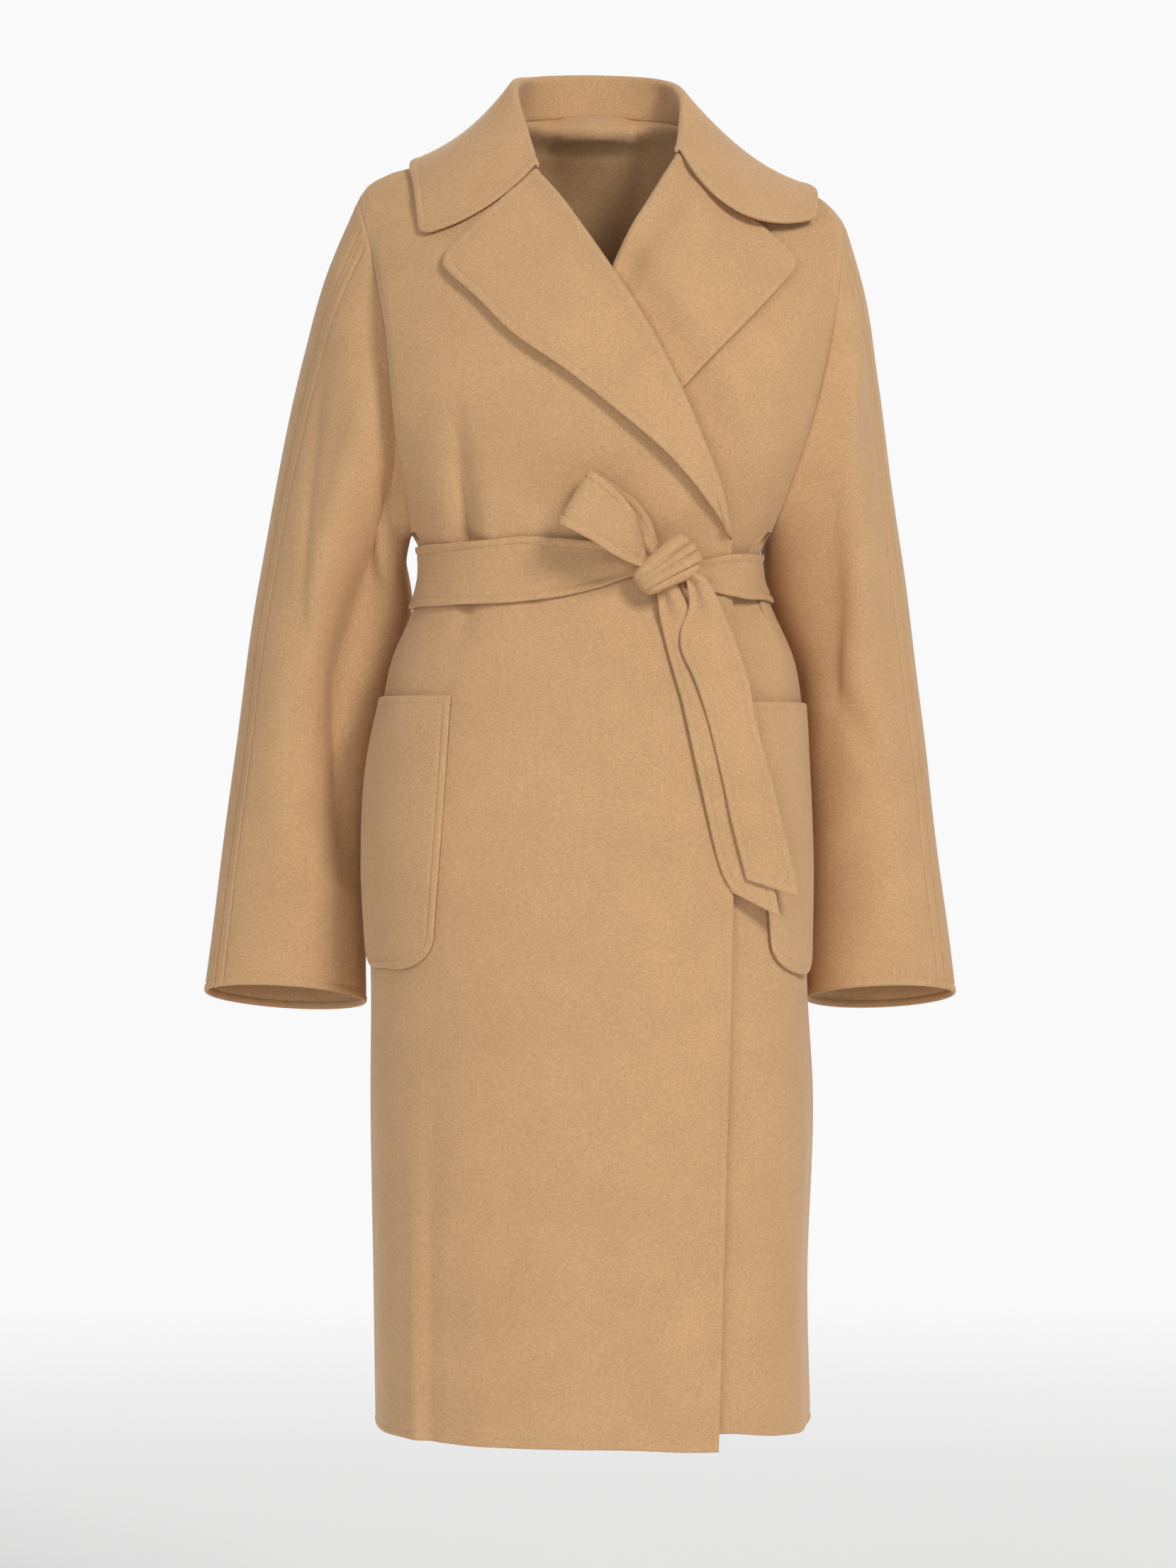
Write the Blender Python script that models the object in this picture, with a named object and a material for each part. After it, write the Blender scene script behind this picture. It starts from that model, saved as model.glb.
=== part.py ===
"""A wool wrap coat with a tied belt, worn open at neck, hem and cuffs, as walls of cloth.

Metres, +Z up, the front towards -Y. The wearer's right side is at -X. The origin is
between the shoulders, level with the base of the neck, where the wearer holds it up.
Every panel is a grid of points on the middle of its cloth, thickened along its normals.
"""

import math

import bmesh
import bpy
import numpy as np

MM = 0.001

# Driving dimensions, in metres.
CLOTH = 2.6 * MM  # double-faced wool
SEAM_GAP = 0.3 * MM  # between two sewn pieces
ARMHOLE_GAP = 0.9 * MM  # a little more where a sleeve meets the body at an angle
UNDERARM_HEIGHT = -336 * MM
FRONT_BREAK_HEIGHT = -346 * MM  # where a lapel starts to turn back, just above the belt
ROLL_RADIUS = 3.3 * MM  # of the soft fold along a lapel's roll line
POCKET_LIFT = 4.8 * MM  # from the middle of a panel to the middle of what lies on it
ROUNDNESS = 2.3  # 2 is an ellipse, and more is squarer
SIDE_SEAM_BEHIND = math.radians(12)  # how far the side seam sits behind the widest point
UNDERLAP_SINK = 10.5 * MM  # how far the under front lies inside the over front, at the lapels
BELT_SINK = 6.0 * MM  # the same, from the belt down
NECK_SIDE = 80 * MM  # where the shoulder seams end, at each side of the neck
NECK_BACK_HEIGHT = 8 * MM
NECK_BACK_DEPTH = 62 * MM  # the same point of the neckline, behind the shoulder seams
NECK_BACK_CURVE = 1.6  # 1 is an even curve to the neck's sides, and more is squarer
NECK_SHARE = 0.4  # of a panel's columns, which reach from its inner edge to the side of the neck
WAIST_CREST = 0.966  # where a front starts to turn back, as a share of half the width
SKIRT_CREST = 0.90  # the same, at the hem
LAPEL_TIP_PULL = 0.05
COLLAR_END_REACH = 0.93  # of the fall, at the collar's two rounded ends

RIGHT, LEFT = -1, 1  # the wearer's, as the sign of x

# Numbers of steps along the cloth.
UPPER_ROWS = 11
LOWER_HEIGHTS = [h * MM for h in (-353, -372, -398, -432, -475, -535, -615, -720, -870, -1055)]
HEM_HEIGHT = LOWER_HEIGHTS[-1]
FRONT_COLUMNS = 10
TURN_COLUMNS = 4
ROLL_STEPS = 4
LAPEL_COLUMNS = 4
SLEEVE_ROWS = 11
COLLAR_ROWS = 26

WOOL = (0.57, 0.35, 0.17, 1.0)


def table(columns, *rows):
    """A short table, as one array for each named column. Its sizes are in millimetres.

    A share, a turn in degrees, a fold's strength at its start and end, and a face, -1 the
    front and 1 the back, stay as they are.
    """
    values = zip(columns.split(), np.array(rows, float).T)
    plain = ("share", "turn", "face", "start", "end")
    return {name: value if name in plain else value * MM for name, value in values}


def along(data, column, at, key=None):
    """The column's value at each key, on a smooth curve through the table's rows."""
    key = key or next(iter(data))
    x, y = data[key], data[column]
    if x[0] > x[-1]:
        x, y = x[::-1], y[::-1]
    at = np.clip(at, x[0], x[-1])
    slope = np.gradient(y, x)
    i = np.clip(np.searchsorted(x, at, side="right") - 1, 0, len(x) - 2)
    width = x[i + 1] - x[i]
    t = (at - x[i]) / width
    start, end = y[i], y[i + 1]
    return (
        start * (1 + 2 * t) * (1 - t) ** 2
        + slope[i] * width * t * (1 - t) ** 2
        + end * t * t * (3 - 2 * t)
        + slope[i + 1] * width * t * t * (t - 1)
    )


def ease(value):
    """0 below 0, 1 above 1, and smooth between."""
    value = np.clip(value, 0, 1)
    return value * value * (3 - 2 * value)


# The body's reach to the front and the back, by height below the shoulder line.
DEPTH = table(
    "level front back",
    (0, 0, 0),
    (-10, 24, 24),
    (-22, 39, 40),
    (-42, 58, 60),
    (-70, 79, 78),
    (-100, 97, 91),
    (-140, 111, 101),
    (-200, 121, 106),
    (-260, 121, 101),
    (-310, 114, 93),
    (-345, 106, 86),
    (-372, 102, 83),
    (-398, 105, 88),
    (-440, 119, 108),
    (-500, 133, 128),
    (-600, 141, 139),
    (-750, 146, 146),
    (-1055, 151, 150),
)

# Half the body's width on each side, by height. Above the underarm it runs on into the sleeve.
WIDTH = table(
    "height right left",
    (0, 216, 222),
    (-100, 213, 220),
    (-150, 207, 214),
    (-200, 197, 203),
    (-250, 181, 185),
    (-290, 165, 166),
    (-336, 146, 140.5),
    (-350, 140.5, 132.5),
    (-372, 139, 131.5),
    (-398, 146, 141.5),
    (-440, 163.5, 159.5),
    (-473, 170.5, 165),
    (-516, 180, 168),
    (-600, 185, 171.5),
    (-690, 181, 171),
    (-790, 182, 177),
    (-950, 180, 173),
    (-1055, 178.5, 175.5),
)

# The shoulder line, from the side of the neck to the top of the sleeve.
SHOULDER = table(
    "across right left",
    (0, -9, -10),
    (80, -10, -12),
    (120, -29, -36),
    (147, -41, -49),
    (167, -47, -59),
    (183, -57, -68),
    (192, -67, -77),
    (200, -77, -87),
    (225, -112, -122),
)

# The front edge of the crest along which each front turns back to its sleeve, top to bottom.
CREST_RIGHT = table(
    "height across",
    (-57, 183),
    (-98, 176),
    (-145, 168),
    (-212, 162),
    (-256, 158),
    (-298, 150),
    (-336, 144),
)
CREST_LEFT = table(
    "height across",
    (-77, 192),
    (-110, 194),
    (-145, 188),
    (-185, 180),
    (-212, 175),
    (-245, 164),
    (-288, 156),
    (-336, 138),
)

# Each front's roll line, from the neck to the break, by the share of its length.
ROLL_RIGHT = table(
    "share across height",
    (0, -48, -50),
    (0.09, -28, -74),
    (0.19, -8, -103),
    (0.29, 12, -133),
    (0.42, 39, -175),
    (0.58, 65, -225),
    (0.72, 84, -268),
    (0.86, 99, -306),
    (1, 108, -346),
)
ROLL_LEFT = table(
    "share across height",
    (0, 66, -36),
    (0.15, 44, -74),
    (0.27, 27, -103),
    (0.37, 14, -131),
    (0.48, 0, -165),
    (0.62, -16, -208),
    (0.78, -35, -262),
    (0.9, -50, -305),
    (1, -60, -346),
)

# Each lapel's outer edge, from its tip to the break.
LAPEL_RIGHT = table(
    "share across height",
    (0, -123, -122),
    (0.06, -118, -133),
    (0.15, -95, -155),
    (0.25, -68, -183),
    (0.4, -22, -216),
    (0.55, 17, -247),
    (0.7, 57, -281),
    (0.85, 86, -314),
    (0.94, 100, -333),
    (1, 107, -346),
)
LAPEL_LEFT = table(
    "share across height",
    (0, 163, -122),
    (0.08, 152, -138),
    (0.2, 121, -173),
    (0.33, 88, -207),
    (0.47, 55, -242),
    (0.62, 20, -272),
    (0.78, -15, -303),
    (0.9, -40, -326),
    (1, -59, -346),
)

# The fronts' free edges, from the break down to the hem.
FRONT_EDGE = table(
    "height right left",
    (-346, 108, -60),
    (-480, 109.5, -58),
    (-630, 108, -55),
    (-850, 102, -52),
    (-1055, 96, -50),
)

# The collar, from its right front end round the back to its left front end: the neck seam, the
# fold line, a point that the fall bends towards, and the fall's outer edge.
COLLAR = table(
    "share seam_x seam_y seam_z roll_x roll_y roll_z mid_x mid_y mid_z edge_x edge_y edge_z",
    (0, -50, -56, -46.5, -47.5, -63, -46.5, -84, -94, -92, -140, -67, -103),
    (0.11, -66, -31, -24, -58, -33, -12, -103, -55, -40, -145, -43, -66),
    (0.25, -80, 2, -7, -66, 2, 27, -101, 2, -18, -147, 4, -35),
    (0.375, -60, 43, 3, -50, 47, 38, -84, 68, 4, -110, 47, -46),
    (0.5, 0, 63, 10, 0, 66, 42, 0, 90, 28, 0, 85, -32),
    (0.625, 60, 43, 2, 52, 47, 36, 88, 68, 0, 122, 45, -56),
    (0.75, 80, 2, -9, 70, 2, 20, 120, 2, -40, 172, 4, -55),
    (0.89, 74, -27, -22, 70, -29, -12, 119, -62, -70, 178, -33, -76),
    (1, 68, -47, -30, 66, -52, -28, 105, -116, -110, 175, -42, -88),
)
COLLAR_FOLD = 3.0 * MM  # the radius of the collar's fold
STAND_COLUMNS = 2
FALL_COLUMNS = 5

# Each patch pocket: its inner edge, from its top to its foot.
POCKET_RIGHT = table("height across", (-469, 112), (-560, 118), (-640, 124), (-685, 127))
POCKET_LEFT = table("height across", (-474, 118), (-560, 127), (-640, 134), (-690, 138))
POCKET_CORNER = 26 * MM
POCKET_END = math.radians(86)  # round the body from the front's middle
POCKET_END_CORNER = math.radians(14)  # the same corner at the pocket's far end
POCKET_ROWS = 6  # above its corners
CORNER_ROWS = 3
POCKET_COLUMNS = 6

# The belt round the waist, by the turn from the front, from the knot round the back.
BELT = table(
    "turn top bottom lift",
    (28, -366, -380, 10.4),
    (36, -362, -386, 6.4),
    (50, -357, -391, 4.2),
    (75, -355, -392, 4.2),
    (100, -353, -394, 4.2),
    (180, -347, -397, 4.2),
    (270, -348, -398, 4.2),
    (322, -347, -397, 4.2),
    (342, -344, -395, 4.2),
    (358, -347, -387, 5.4),
    (368, -353, -377, 8.4),
    (374, -357, -374, 11.4),
)
BELT_STEPS = 48

# The knot: its middle, its half sizes along, across and through, and its slope.
KNOT_MIDDLE = (56 * MM, -118 * MM, -368 * MM)
KNOT_SIZE = (27.5 * MM, 19 * MM, 13 * MM)
KNOT_SLOPE = math.radians(33)
KNOT_RIDGE = 0.07  # the height of its three wraps, as a share of its size

# The half bow: out along its front leaf, over its fold and back along its rear leaf.
LOOP = table(
    "share top_x top_z bottom_x bottom_z out",
    (0, 37, -351, 40, -370, 124),
    (0.1, 34, -340, 29, -367, 134),
    (0.22, 28, -324, 15, -361, 145),
    (0.36, 13, -307, -4, -349, 148),
    (0.48, -4, -294, -28, -336, 144),
    (0.54, -3, -293, -27, -335, 133),
    (0.66, 14, -304, -7, -343, 125),
    (0.8, 34, -319, 15, -355, 121),
    (0.9, 44, -334, 32, -362, 119),
    (1, 49, -352, 44, -368, 117),
)
LOOP_STEPS = 20

# The tails, from the knot to their slanted ends, each by its two edges.
TAIL_FRONT = table(
    "share left_x left_z right_x right_z",
    (0, 68, -372, 82, -374),
    (0.09, 72, -383, 91, -384),
    (0.18, 73, -401, 101, -405),
    (0.26, 67, -418, 108, -421),
    (0.34, 67, -433, 115, -441),
    (0.44, 77, -456, 121, -461),
    (0.56, 87, -486, 126, -491),
    (0.7, 99, -535, 138, -535),
    (0.85, 107, -572, 147, -572),
    (1, 118, -614, 160, -628),
)
TAIL_BACK = table(
    "share left_x left_z right_x right_z",
    (0, 47, -376, 62, -378),
    (0.09, 49, -392, 69, -392),
    (0.18, 50, -405, 78, -406),
    (0.26, 54, -424, 88, -425),
    (0.34, 58, -440, 97, -443),
    (0.44, 65, -465, 106, -468),
    (0.56, 69, -480, 110, -484),
    (0.7, 81, -535, 122, -537),
    (0.85, 96, -600, 137, -604),
    (1, 107, -624, 145, -644),
)
TAIL_FRONT_LIFT = 10.0 * MM
TAIL_BACK_LIFT = 5.5 * MM
TAIL_TURN = 0.30  # how fast a tail recedes from its left edge to its right edge
TAIL_STEPS = 16

# Half of the armhole's depth, and how far its seam is tucked in at the front and the back.
ARMHOLE_DEPTH = 54 * MM
ARMHOLE_TUCK = {RIGHT: (8 * MM, 1 * MM), LEFT: (-11 * MM, -11 * MM)}

# The sleeves' upper and under lines, from the armhole to the cuff, with the tube's half depth,
# how far its middle hangs behind, and how far the inner side swings in behind the body.
SLEEVE_RIGHT = table(
    "share top_x top_z under_x under_z depth behind swing",
    (0, -191, -68, -148, -336, 54, 0, 0),
    (0.1, -217, -131, -154, -364, 58, 5, 0),
    (0.2, -236, -194, -152, -398, 66, 24, 1),
    (0.35, -257, -289, -168, -455, 62, 33, 3),
    (0.5, -274, -383, -181, -512, 57, 38, 2),
    (0.65, -288, -478, -187, -568, 51, 41, 0),
    (0.8, -301, -572, -188, -630, 47, 40, 0),
    (1, -318, -698, -188, -706, 43, 38, 0),
)
SLEEVE_LEFT = table(
    "share top_x top_z under_x under_z depth behind swing",
    (0, 200, -87, 140.5, -336, 54, 0, 0),
    (0.1, 218, -148, 147, -364, 62, 8, 26),
    (0.2, 228, -209, 148.5, -398, 67, 26, 22),
    (0.35, 241, -301, 165, -455, 63, 36, 4),
    (0.5, 254, -393, 170, -512, 57, 42, 0),
    (0.65, 266, -485, 172, -568, 52, 46, 0),
    (0.8, 277, -577, 173, -630, 49, 48, 0),
    (1, 293, -700, 173, -704, 49, 47, 0),
)
CUFF_DIP = 22 * MM  # how much lower a cuff's back edge hangs than its front edge

# The largest folds in the body: a trough or, where the depth is negative, a ridge. Each runs
# from its top to its foot, and swells or dies out from one strength to the other.
FOLDS = table(
    "top_x top_z foot_x foot_z width depth start end face",
    (-117, -205, -99, -352, 9, 9, 0, 1, -1),
    (-99, -392, -108, -440, 9, 5, 1, 0, -1),
    (-128, -800, -139, -1060, 16, -5, 0, 1, -1),
    (-106, -760, -116, -1060, 18, 4, 0, 1, -1),
    (118, -392, 130, -455, 7, 5, 1, 0, -1),
    (148, -820, 158, -1060, 13, 6, 0, 1, -1),
    (-96, -215, -84, -352, 12, 8, 0, 1, 1),
    (-30, -235, -26, -352, 11, 6, 0, 1, 1),
    (44, -225, 40, -352, 12, 8, 0, 1, 1),
    (100, -240, 92, -352, 10, 6, 0, 1, 1),
    (-88, -392, -98, -510, 12, 7, 1, 0, 1),
    (-18, -392, -20, -490, 12, 6, 1, 0, 1),
    (60, -392, 66, -510, 12, 7, 1, 0, 1),
    (-110, -780, -118, -1060, 22, -6, 0, 1, 1),
    (40, -800, 48, -1060, 24, -5, 0, 1, 1),
)


def half_width(x, z):
    return np.where(np.asarray(x) < 0, along(WIDTH, "right", z), along(WIDTH, "left", z))


def shoulder_height(x):
    """The height of the shoulder line, the same over the width of the neck."""
    across = np.abs(x)
    right = along(SHOULDER, "right", across)
    left = along(SHOULDER, "left", across)
    return np.where(np.asarray(x) < 0, right, left)


def level(x, z):
    """Height against the shoulder line, which fades into plain height by the chest."""
    fade = ease((z + 0.30) / 0.20)
    return np.minimum(z - shoulder_height(x) * fade, 0)


def fold_depth(x, z, face):
    """How far the folds push the cloth in, at a point of the front (-1) or back (1)."""
    push = np.zeros(np.broadcast(x, z).shape)
    for top_x, top_z, foot_x, foot_z, width, depth, start, end, side in zip(*FOLDS.values()):
        if side != face:
            continue
        share = (z - top_z) / (foot_z - top_z)
        centre = top_x + (foot_x - top_x) * share
        strength = start + (end - start) * ease(share)
        inside = np.where((share > 0) & (share < 1), strength, 0)
        push = push + depth * inside * np.exp(-(((x - centre) / width) ** 2))
    return push


def body_y(x, z, face, folded=True):
    """The body's y at a point of its front (face -1) or back (face 1)."""
    reach = np.minimum(np.abs(x) / half_width(x, z), 1)
    depth = along(DEPTH, "front" if face < 0 else "back", level(x, z))
    y = face * depth * (1 - reach**ROUNDNESS) ** (1 / ROUNDNESS)
    if folded:
        y = y - face * fold_depth(x, z, face) * np.minimum(1, 4 * (1 - reach))
    return y


def ring_point(angle, z, lift=0.0):
    """A point of the level ring round the body: angle 0 at the front, a quarter turn at +X."""
    side = np.where(np.sin(angle) < 0, along(WIDTH, "right", z), along(WIDTH, "left", z))
    front, back = along(DEPTH, "front", z), along(DEPTH, "back", z)
    deep = np.where(np.cos(angle) > 0, front, back)
    power = 2 / ROUNDNESS
    x = (side + lift) * np.sign(np.sin(angle)) * np.abs(np.sin(angle)) ** power
    y = -(deep + lift) * np.sign(np.cos(angle)) * np.abs(np.cos(angle)) ** power
    return np.stack(np.broadcast_arrays(x, y, z), -1)


def ring_angle(x, z):
    """The ring's angle at which its front half is at x."""
    reach = np.clip(np.abs(x) / half_width(x, z), 0, 1)
    return np.sign(x) * np.arcsin(reach ** (ROUNDNESS / 2))


def underlap(x, z):
    """How far the under front is pushed in at a point, where the over front covers it."""
    share = (z - FRONT_BREAK_HEIGHT) / (ROLL_RIGHT["height"][0] - FRONT_BREAK_HEIGHT)
    roll_x = along(ROLL_RIGHT, "across", z, key="height")
    edge_x = np.where(share > 0, roll_x, along(FRONT_EDGE, "right", z))
    amount = BELT_SINK + (UNDERLAP_SINK - BELT_SINK) * ease(share / 0.12)
    return amount * ease((edge_x + 48 * MM - x) / (40 * MM))


# A sheet of cloth: its points, its faces, and the points that lie on a seam.


class Sheet:
    """Points on the middle of one piece of cloth, with quads and the seams they meet at."""

    def __init__(self, name):
        self.name = name
        self.points = []
        self.faces = []

    def add_grid(self, grid):
        """Adds a grid of points, reusing points that are already there, and its quads."""
        numbers = np.empty(grid.shape[:2], int)
        for place in np.ndindex(numbers.shape):
            numbers[place] = self.find(grid[place])
        for i in range(len(numbers) - 1):
            for j in range(len(numbers[0]) - 1):
                corners = [numbers[i, j], numbers[i + 1, j], numbers[i + 1, j + 1], numbers[i, j + 1]]
                ring = [c for k, c in enumerate(corners) if c != corners[k - 1]]
                if len(set(ring)) > 2:
                    self.faces.append(ring)
        return numbers

    def find(self, point):
        if self.points:
            away = np.linalg.norm(np.array(self.points) - point, axis=1)
            if away.min() < 0.05 * MM:
                return int(away.argmin())
        self.points.append(np.array(point, float))
        return len(self.points) - 1

    def borders(self):
        """The open edges, each in the direction that its one face runs."""
        edges = {(f[k - 1], f[k]) for f in self.faces for k in range(len(f))}
        return [(a, b) for a, b in edges if (b, a) not in edges]

    def normals(self):
        points = np.array(self.points)
        total = np.zeros_like(points)
        for face in self.faces:
            corners = points[face]
            across = np.cross(corners[2] - corners[0], corners[-1] - corners[1 % len(corners)])
            if len(face) == 3:
                across = np.cross(corners[1] - corners[0], corners[2] - corners[0])
            total[face] += across
        return total / np.linalg.norm(total, axis=1)[:, None]


def sew(sheets):
    """Shares the normals of points where sheets meet, and parts the sheets by the seam gap."""
    normals = {sheet.name: sheet.normals() for sheet in sheets}
    meetings = {}
    for sheet in sheets:
        for number, point in enumerate(sheet.points):
            key = tuple(np.round(point / (0.05 * MM)).astype(int))
            meetings.setdefault(key, []).append((sheet, number))
    moves = []
    for meeting in meetings.values():
        if len({sheet.name for sheet, _ in meeting}) < 2:
            continue
        shared = sum(normals[sheet.name][number] for sheet, number in meeting)
        shared = shared / np.linalg.norm(shared)
        for sheet, number in meeting:
            normals[sheet.name][number] = shared
            nearby = {c for face in sheet.faces if number in face for c in face}
            seam = {c for edge in sheet.borders() if number in edge for c in edge}
            inner = [sheet.points[c] for c in nearby - seam]
            if inner:
                inward = np.mean(inner, axis=0) - sheet.points[number]
                inward = inward - shared * (inward @ shared)
                moves.append((sheet, number, inward / np.linalg.norm(inward)))
    for sheet, number, inward in moves:
        pull = ARMHOLE_GAP if sheet.name.startswith("sleeve") else 0.6 * SEAM_GAP
        sheet.points[number] = sheet.points[number] + inward * pull
    return normals


def make_material(name):
    material = bpy.data.materials.new(name)
    material.use_nodes = True
    shader = material.node_tree.nodes["Principled BSDF"]
    shader.inputs["Base Color"].default_value = WOOL
    shader.inputs["Roughness"].default_value = 0.9
    shader.inputs["Metallic"].default_value = 0.0
    shader.inputs["Sheen Weight"].default_value = 0.25
    return material


def add_object(name, points, faces):
    mesh = bpy.data.meshes.new(name)
    mesh.from_pydata([tuple(p) for p in points], [], faces)
    build = bmesh.new()
    build.from_mesh(mesh)
    bmesh.ops.recalc_face_normals(build, faces=build.faces)
    build.to_mesh(mesh)
    build.free()
    mesh.shade_smooth()
    mesh.set_sharp_from_angle(angle=math.radians(50))
    mesh.materials.append(make_material(name + "_wool"))
    body = bpy.data.objects.new(name, mesh)
    bpy.context.scene.collection.objects.link(body)
    return body


def thicken(sheet, normals):
    """One closed wall of cloth, half its thickness to each side of the sheet."""
    points = np.array(sheet.points)
    count = len(points)
    outer = points + normals * CLOTH / 2
    inner = points - normals * CLOTH / 2
    faces = [list(map(int, f)) for f in sheet.faces]
    faces += [[int(c) + count for c in reversed(f)] for f in sheet.faces]
    for a, b in sheet.borders():
        faces.append([int(b), int(a), int(a) + count, int(b) + count])
    return add_object(sheet.name, np.vstack([outer, inner]), faces)


# Body panels.


def armhole_tuck(side, angle):
    """How far the armhole is tucked in towards the body, at an angle round it."""
    front, back = ARMHOLE_TUCK[side]
    return (front if math.sin(angle) > 0 else back) * math.sin(angle) ** 2


def armhole(side, angle):
    """A point of the armhole's seam: 0 at the shoulder, half a turn at the underarm, front first."""
    data = SLEEVE_RIGHT if side == RIGHT else SLEEVE_LEFT
    top = np.array([data["top_x"][0], data["top_z"][0]])
    under = np.array([data["under_x"][0], data["under_z"][0]])
    middle = (top + under) / 2 + (top - under) / 2 * np.cos(angle)
    x = middle[0] - side * armhole_tuck(side, angle)
    return np.array([x, -ARMHOLE_DEPTH * np.sin(angle), middle[1]])


def shoulder_end(side):
    """The end of the shoulder seam, where the crest starts."""
    crest = CREST_RIGHT if side == RIGHT else CREST_LEFT
    x = side * crest["across"][0]
    return np.array([x, float(shoulder_height(x))])


def turned_back(crest, seam, side, count):
    """Points from the crest of a panel round to its armhole seam, without the first."""
    control = (crest + seam) / 2
    bulge = min(abs(crest[1] - seam[1]) / (20 * MM), 1.0)
    control[0] += (max(abs(crest[0]), abs(seam[0])) * side + side * 1.5 * MM - control[0]) * bulge
    shares = [(k + 1) / count for k in range(count)]
    return [(1 - s) ** 2 * crest + 2 * s * (1 - s) * control + s * s * seam for s in shares]


def upper_half(side, face, inner_edge, top_line):
    """The panel from its inner edge to the armhole, from the shoulder down to the underarm."""
    crest_table = CREST_RIGHT if side == RIGHT else CREST_LEFT
    crest_top, crest_foot = crest_table["height"][0], crest_table["height"][-1]
    rows = []
    for row in range(UPPER_ROWS + 1):
        v = row / UPPER_ROWS
        angle = math.pi * v
        height = crest_top + (crest_foot - crest_top) * (1 - math.cos(angle)) / 2
        crest = np.array([side * along(crest_table, "across", height), height])
        if row == 0:
            crest = shoulder_end(side)
        points = []
        for column in range(FRONT_COLUMNS + 1):
            t = column / FRONT_COLUMNS
            straight = (1 - t) * top_line(0) + t * top_line(1)
            flat = (1 - t) * inner_edge(v) + t * crest + (1 - v) * (top_line(t) - straight)
            points.append(panel_point(flat[0], flat[1], face, side, v, t))
        seam = armhole(side, angle if face < 0 else -angle)
        points += turned_back(points[-1], seam, side, TURN_COLUMNS)
        rows.append(points)
    return np.array(rows)


def shoulder_seam(side, t):
    """A point of the shoulder seam, as t runs from the side of the neck to its end."""
    neck = side * NECK_SIDE
    x = neck + (shoulder_end(side)[0] - neck) * (t - NECK_SHARE) / (1 - NECK_SHARE)
    return np.array([x, float(shoulder_height(x))])


def panel_point(x, z, face, side, v, t):
    """A point of a front or of the back, with the neck's hollow at the top of the back."""
    y = float(body_y(x, z, face))
    if v == 0 and t >= NECK_SHARE:
        y = 0.0
    if face < 0 and side == LEFT:
        y += float(underlap(x, z))
    if face > 0:
        neck = max(0.0, 1 - abs(x) / NECK_SIDE)
        y += NECK_BACK_DEPTH * ease(neck * NECK_BACK_CURVE) * (1 - v) ** 3
    return np.array([x, y, z])


def lower_half(side, face, inner_x):
    """The panel from the underarm down to the hem, from its inner edge to the side seam."""
    rows = []
    for z in LOWER_HEIGHTS:
        w = (z - UNDERARM_HEIGHT) / (HEM_HEIGHT - UNDERARM_HEIGHT)
        reach = SKIRT_CREST + (WAIST_CREST - SKIRT_CREST) * math.exp(-10 * w)
        crest_x = side * float(half_width(side, z)) * reach
        points = []
        for column in range(FRONT_COLUMNS + 1):
            t = column / FRONT_COLUMNS
            x = inner_x(z) * (1 - t) + crest_x * t
            points.append(panel_point(x, z, face, side, 1.0, t))
        first = float(ring_angle(crest_x, z)) * side
        last = math.pi / 2 + SIDE_SEAM_BEHIND * ease(w * 4)
        if face > 0:
            first = math.pi - first
        for step in range(1, TURN_COLUMNS + 1):
            angle = first + (last - first) * step / TURN_COLUMNS
            points.append(ring_point(side * angle, z))
        rows.append(points)
    return np.array(rows)


def front_panel(side):
    """One front, from its roll line and free edge to the armhole and the side seam."""
    roll = ROLL_RIGHT if side == RIGHT else ROLL_LEFT
    name = "right" if side == RIGHT else "left"

    def roll_line(v):
        at = np.array([along(roll, "across", v), along(roll, "height", v)])
        return at + roll_inward(side, v) * roll_radius(v)

    def top_line(t):
        if t < NECK_SHARE:
            start = roll_line(0)
            return start + (shoulder_seam(side, NECK_SHARE) - start) * t / NECK_SHARE
        return shoulder_seam(side, t)

    upper = upper_half(side, -1, roll_line, top_line)
    lower = lower_half(side, -1, lambda z: float(along(FRONT_EDGE, name, z)))
    return np.concatenate([upper, lower])


def roll_radius(share):
    """The radius of the fold along the roll line, which narrows to nothing at the break."""
    return ROLL_RADIUS * min(1.0, 6 * (1 - share) + 1e-9)


def roll_inward(side, share):
    """The direction across the panel from its roll line, square to the line."""
    roll = ROLL_RIGHT if side == RIGHT else ROLL_LEFT
    ahead, back = min(share + 0.02, 1.0), max(share - 0.02, 0.0)
    run = np.array([along(roll, c, ahead) - along(roll, c, back) for c in ("across", "height")])
    run = run / np.linalg.norm(run)
    return np.array([-run[1], run[0]]) * side


def lapel(side, panel):
    """The turned-back lapel: the fold from the panel's edge, and the leaf that lies on the panel."""
    data = LAPEL_RIGHT if side == RIGHT else LAPEL_LEFT
    rows = []
    for row in range(UPPER_ROWS + 1):
        share = row / UPPER_ROWS
        base = panel[row][0]
        inward = roll_inward(side, share)
        turn = math.pi * min(1.0, 3.2 * (1 - share))
        radius = roll_radius(share)
        points = [base]
        for step in range(1, ROLL_STEPS + 1):
            angle = turn * step / ROLL_STEPS
            out = -inward * radius * math.sin(angle)
            x, z = base[0] + out[0], base[2] + out[1]
            points.append(np.array([x, base[1] - radius * (1 - math.cos(angle)), z]))
        start = points[-1]
        edge = np.array([along(data, "across", share), along(data, "height", share)])
        for step in range(1, LAPEL_COLUMNS + 1):
            s = step / LAPEL_COLUMNS
            notch = corner_pull(share, s)
            x = start[0] + (edge[0] - start[0]) * s * notch
            z = start[2] + (edge[1] - start[2]) * s * notch
            lift = (base[1] - start[1]) + lapel_lift(side, share, s)
            y = float(body_y(x, z, -1))
            if side == LEFT:
                y += float(underlap(x, z))
            points.append(np.array([x, y - lift, z]))
        if share == 1:
            points = [base] * len(points)
        rows.append(points)
    return np.array(rows)


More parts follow.
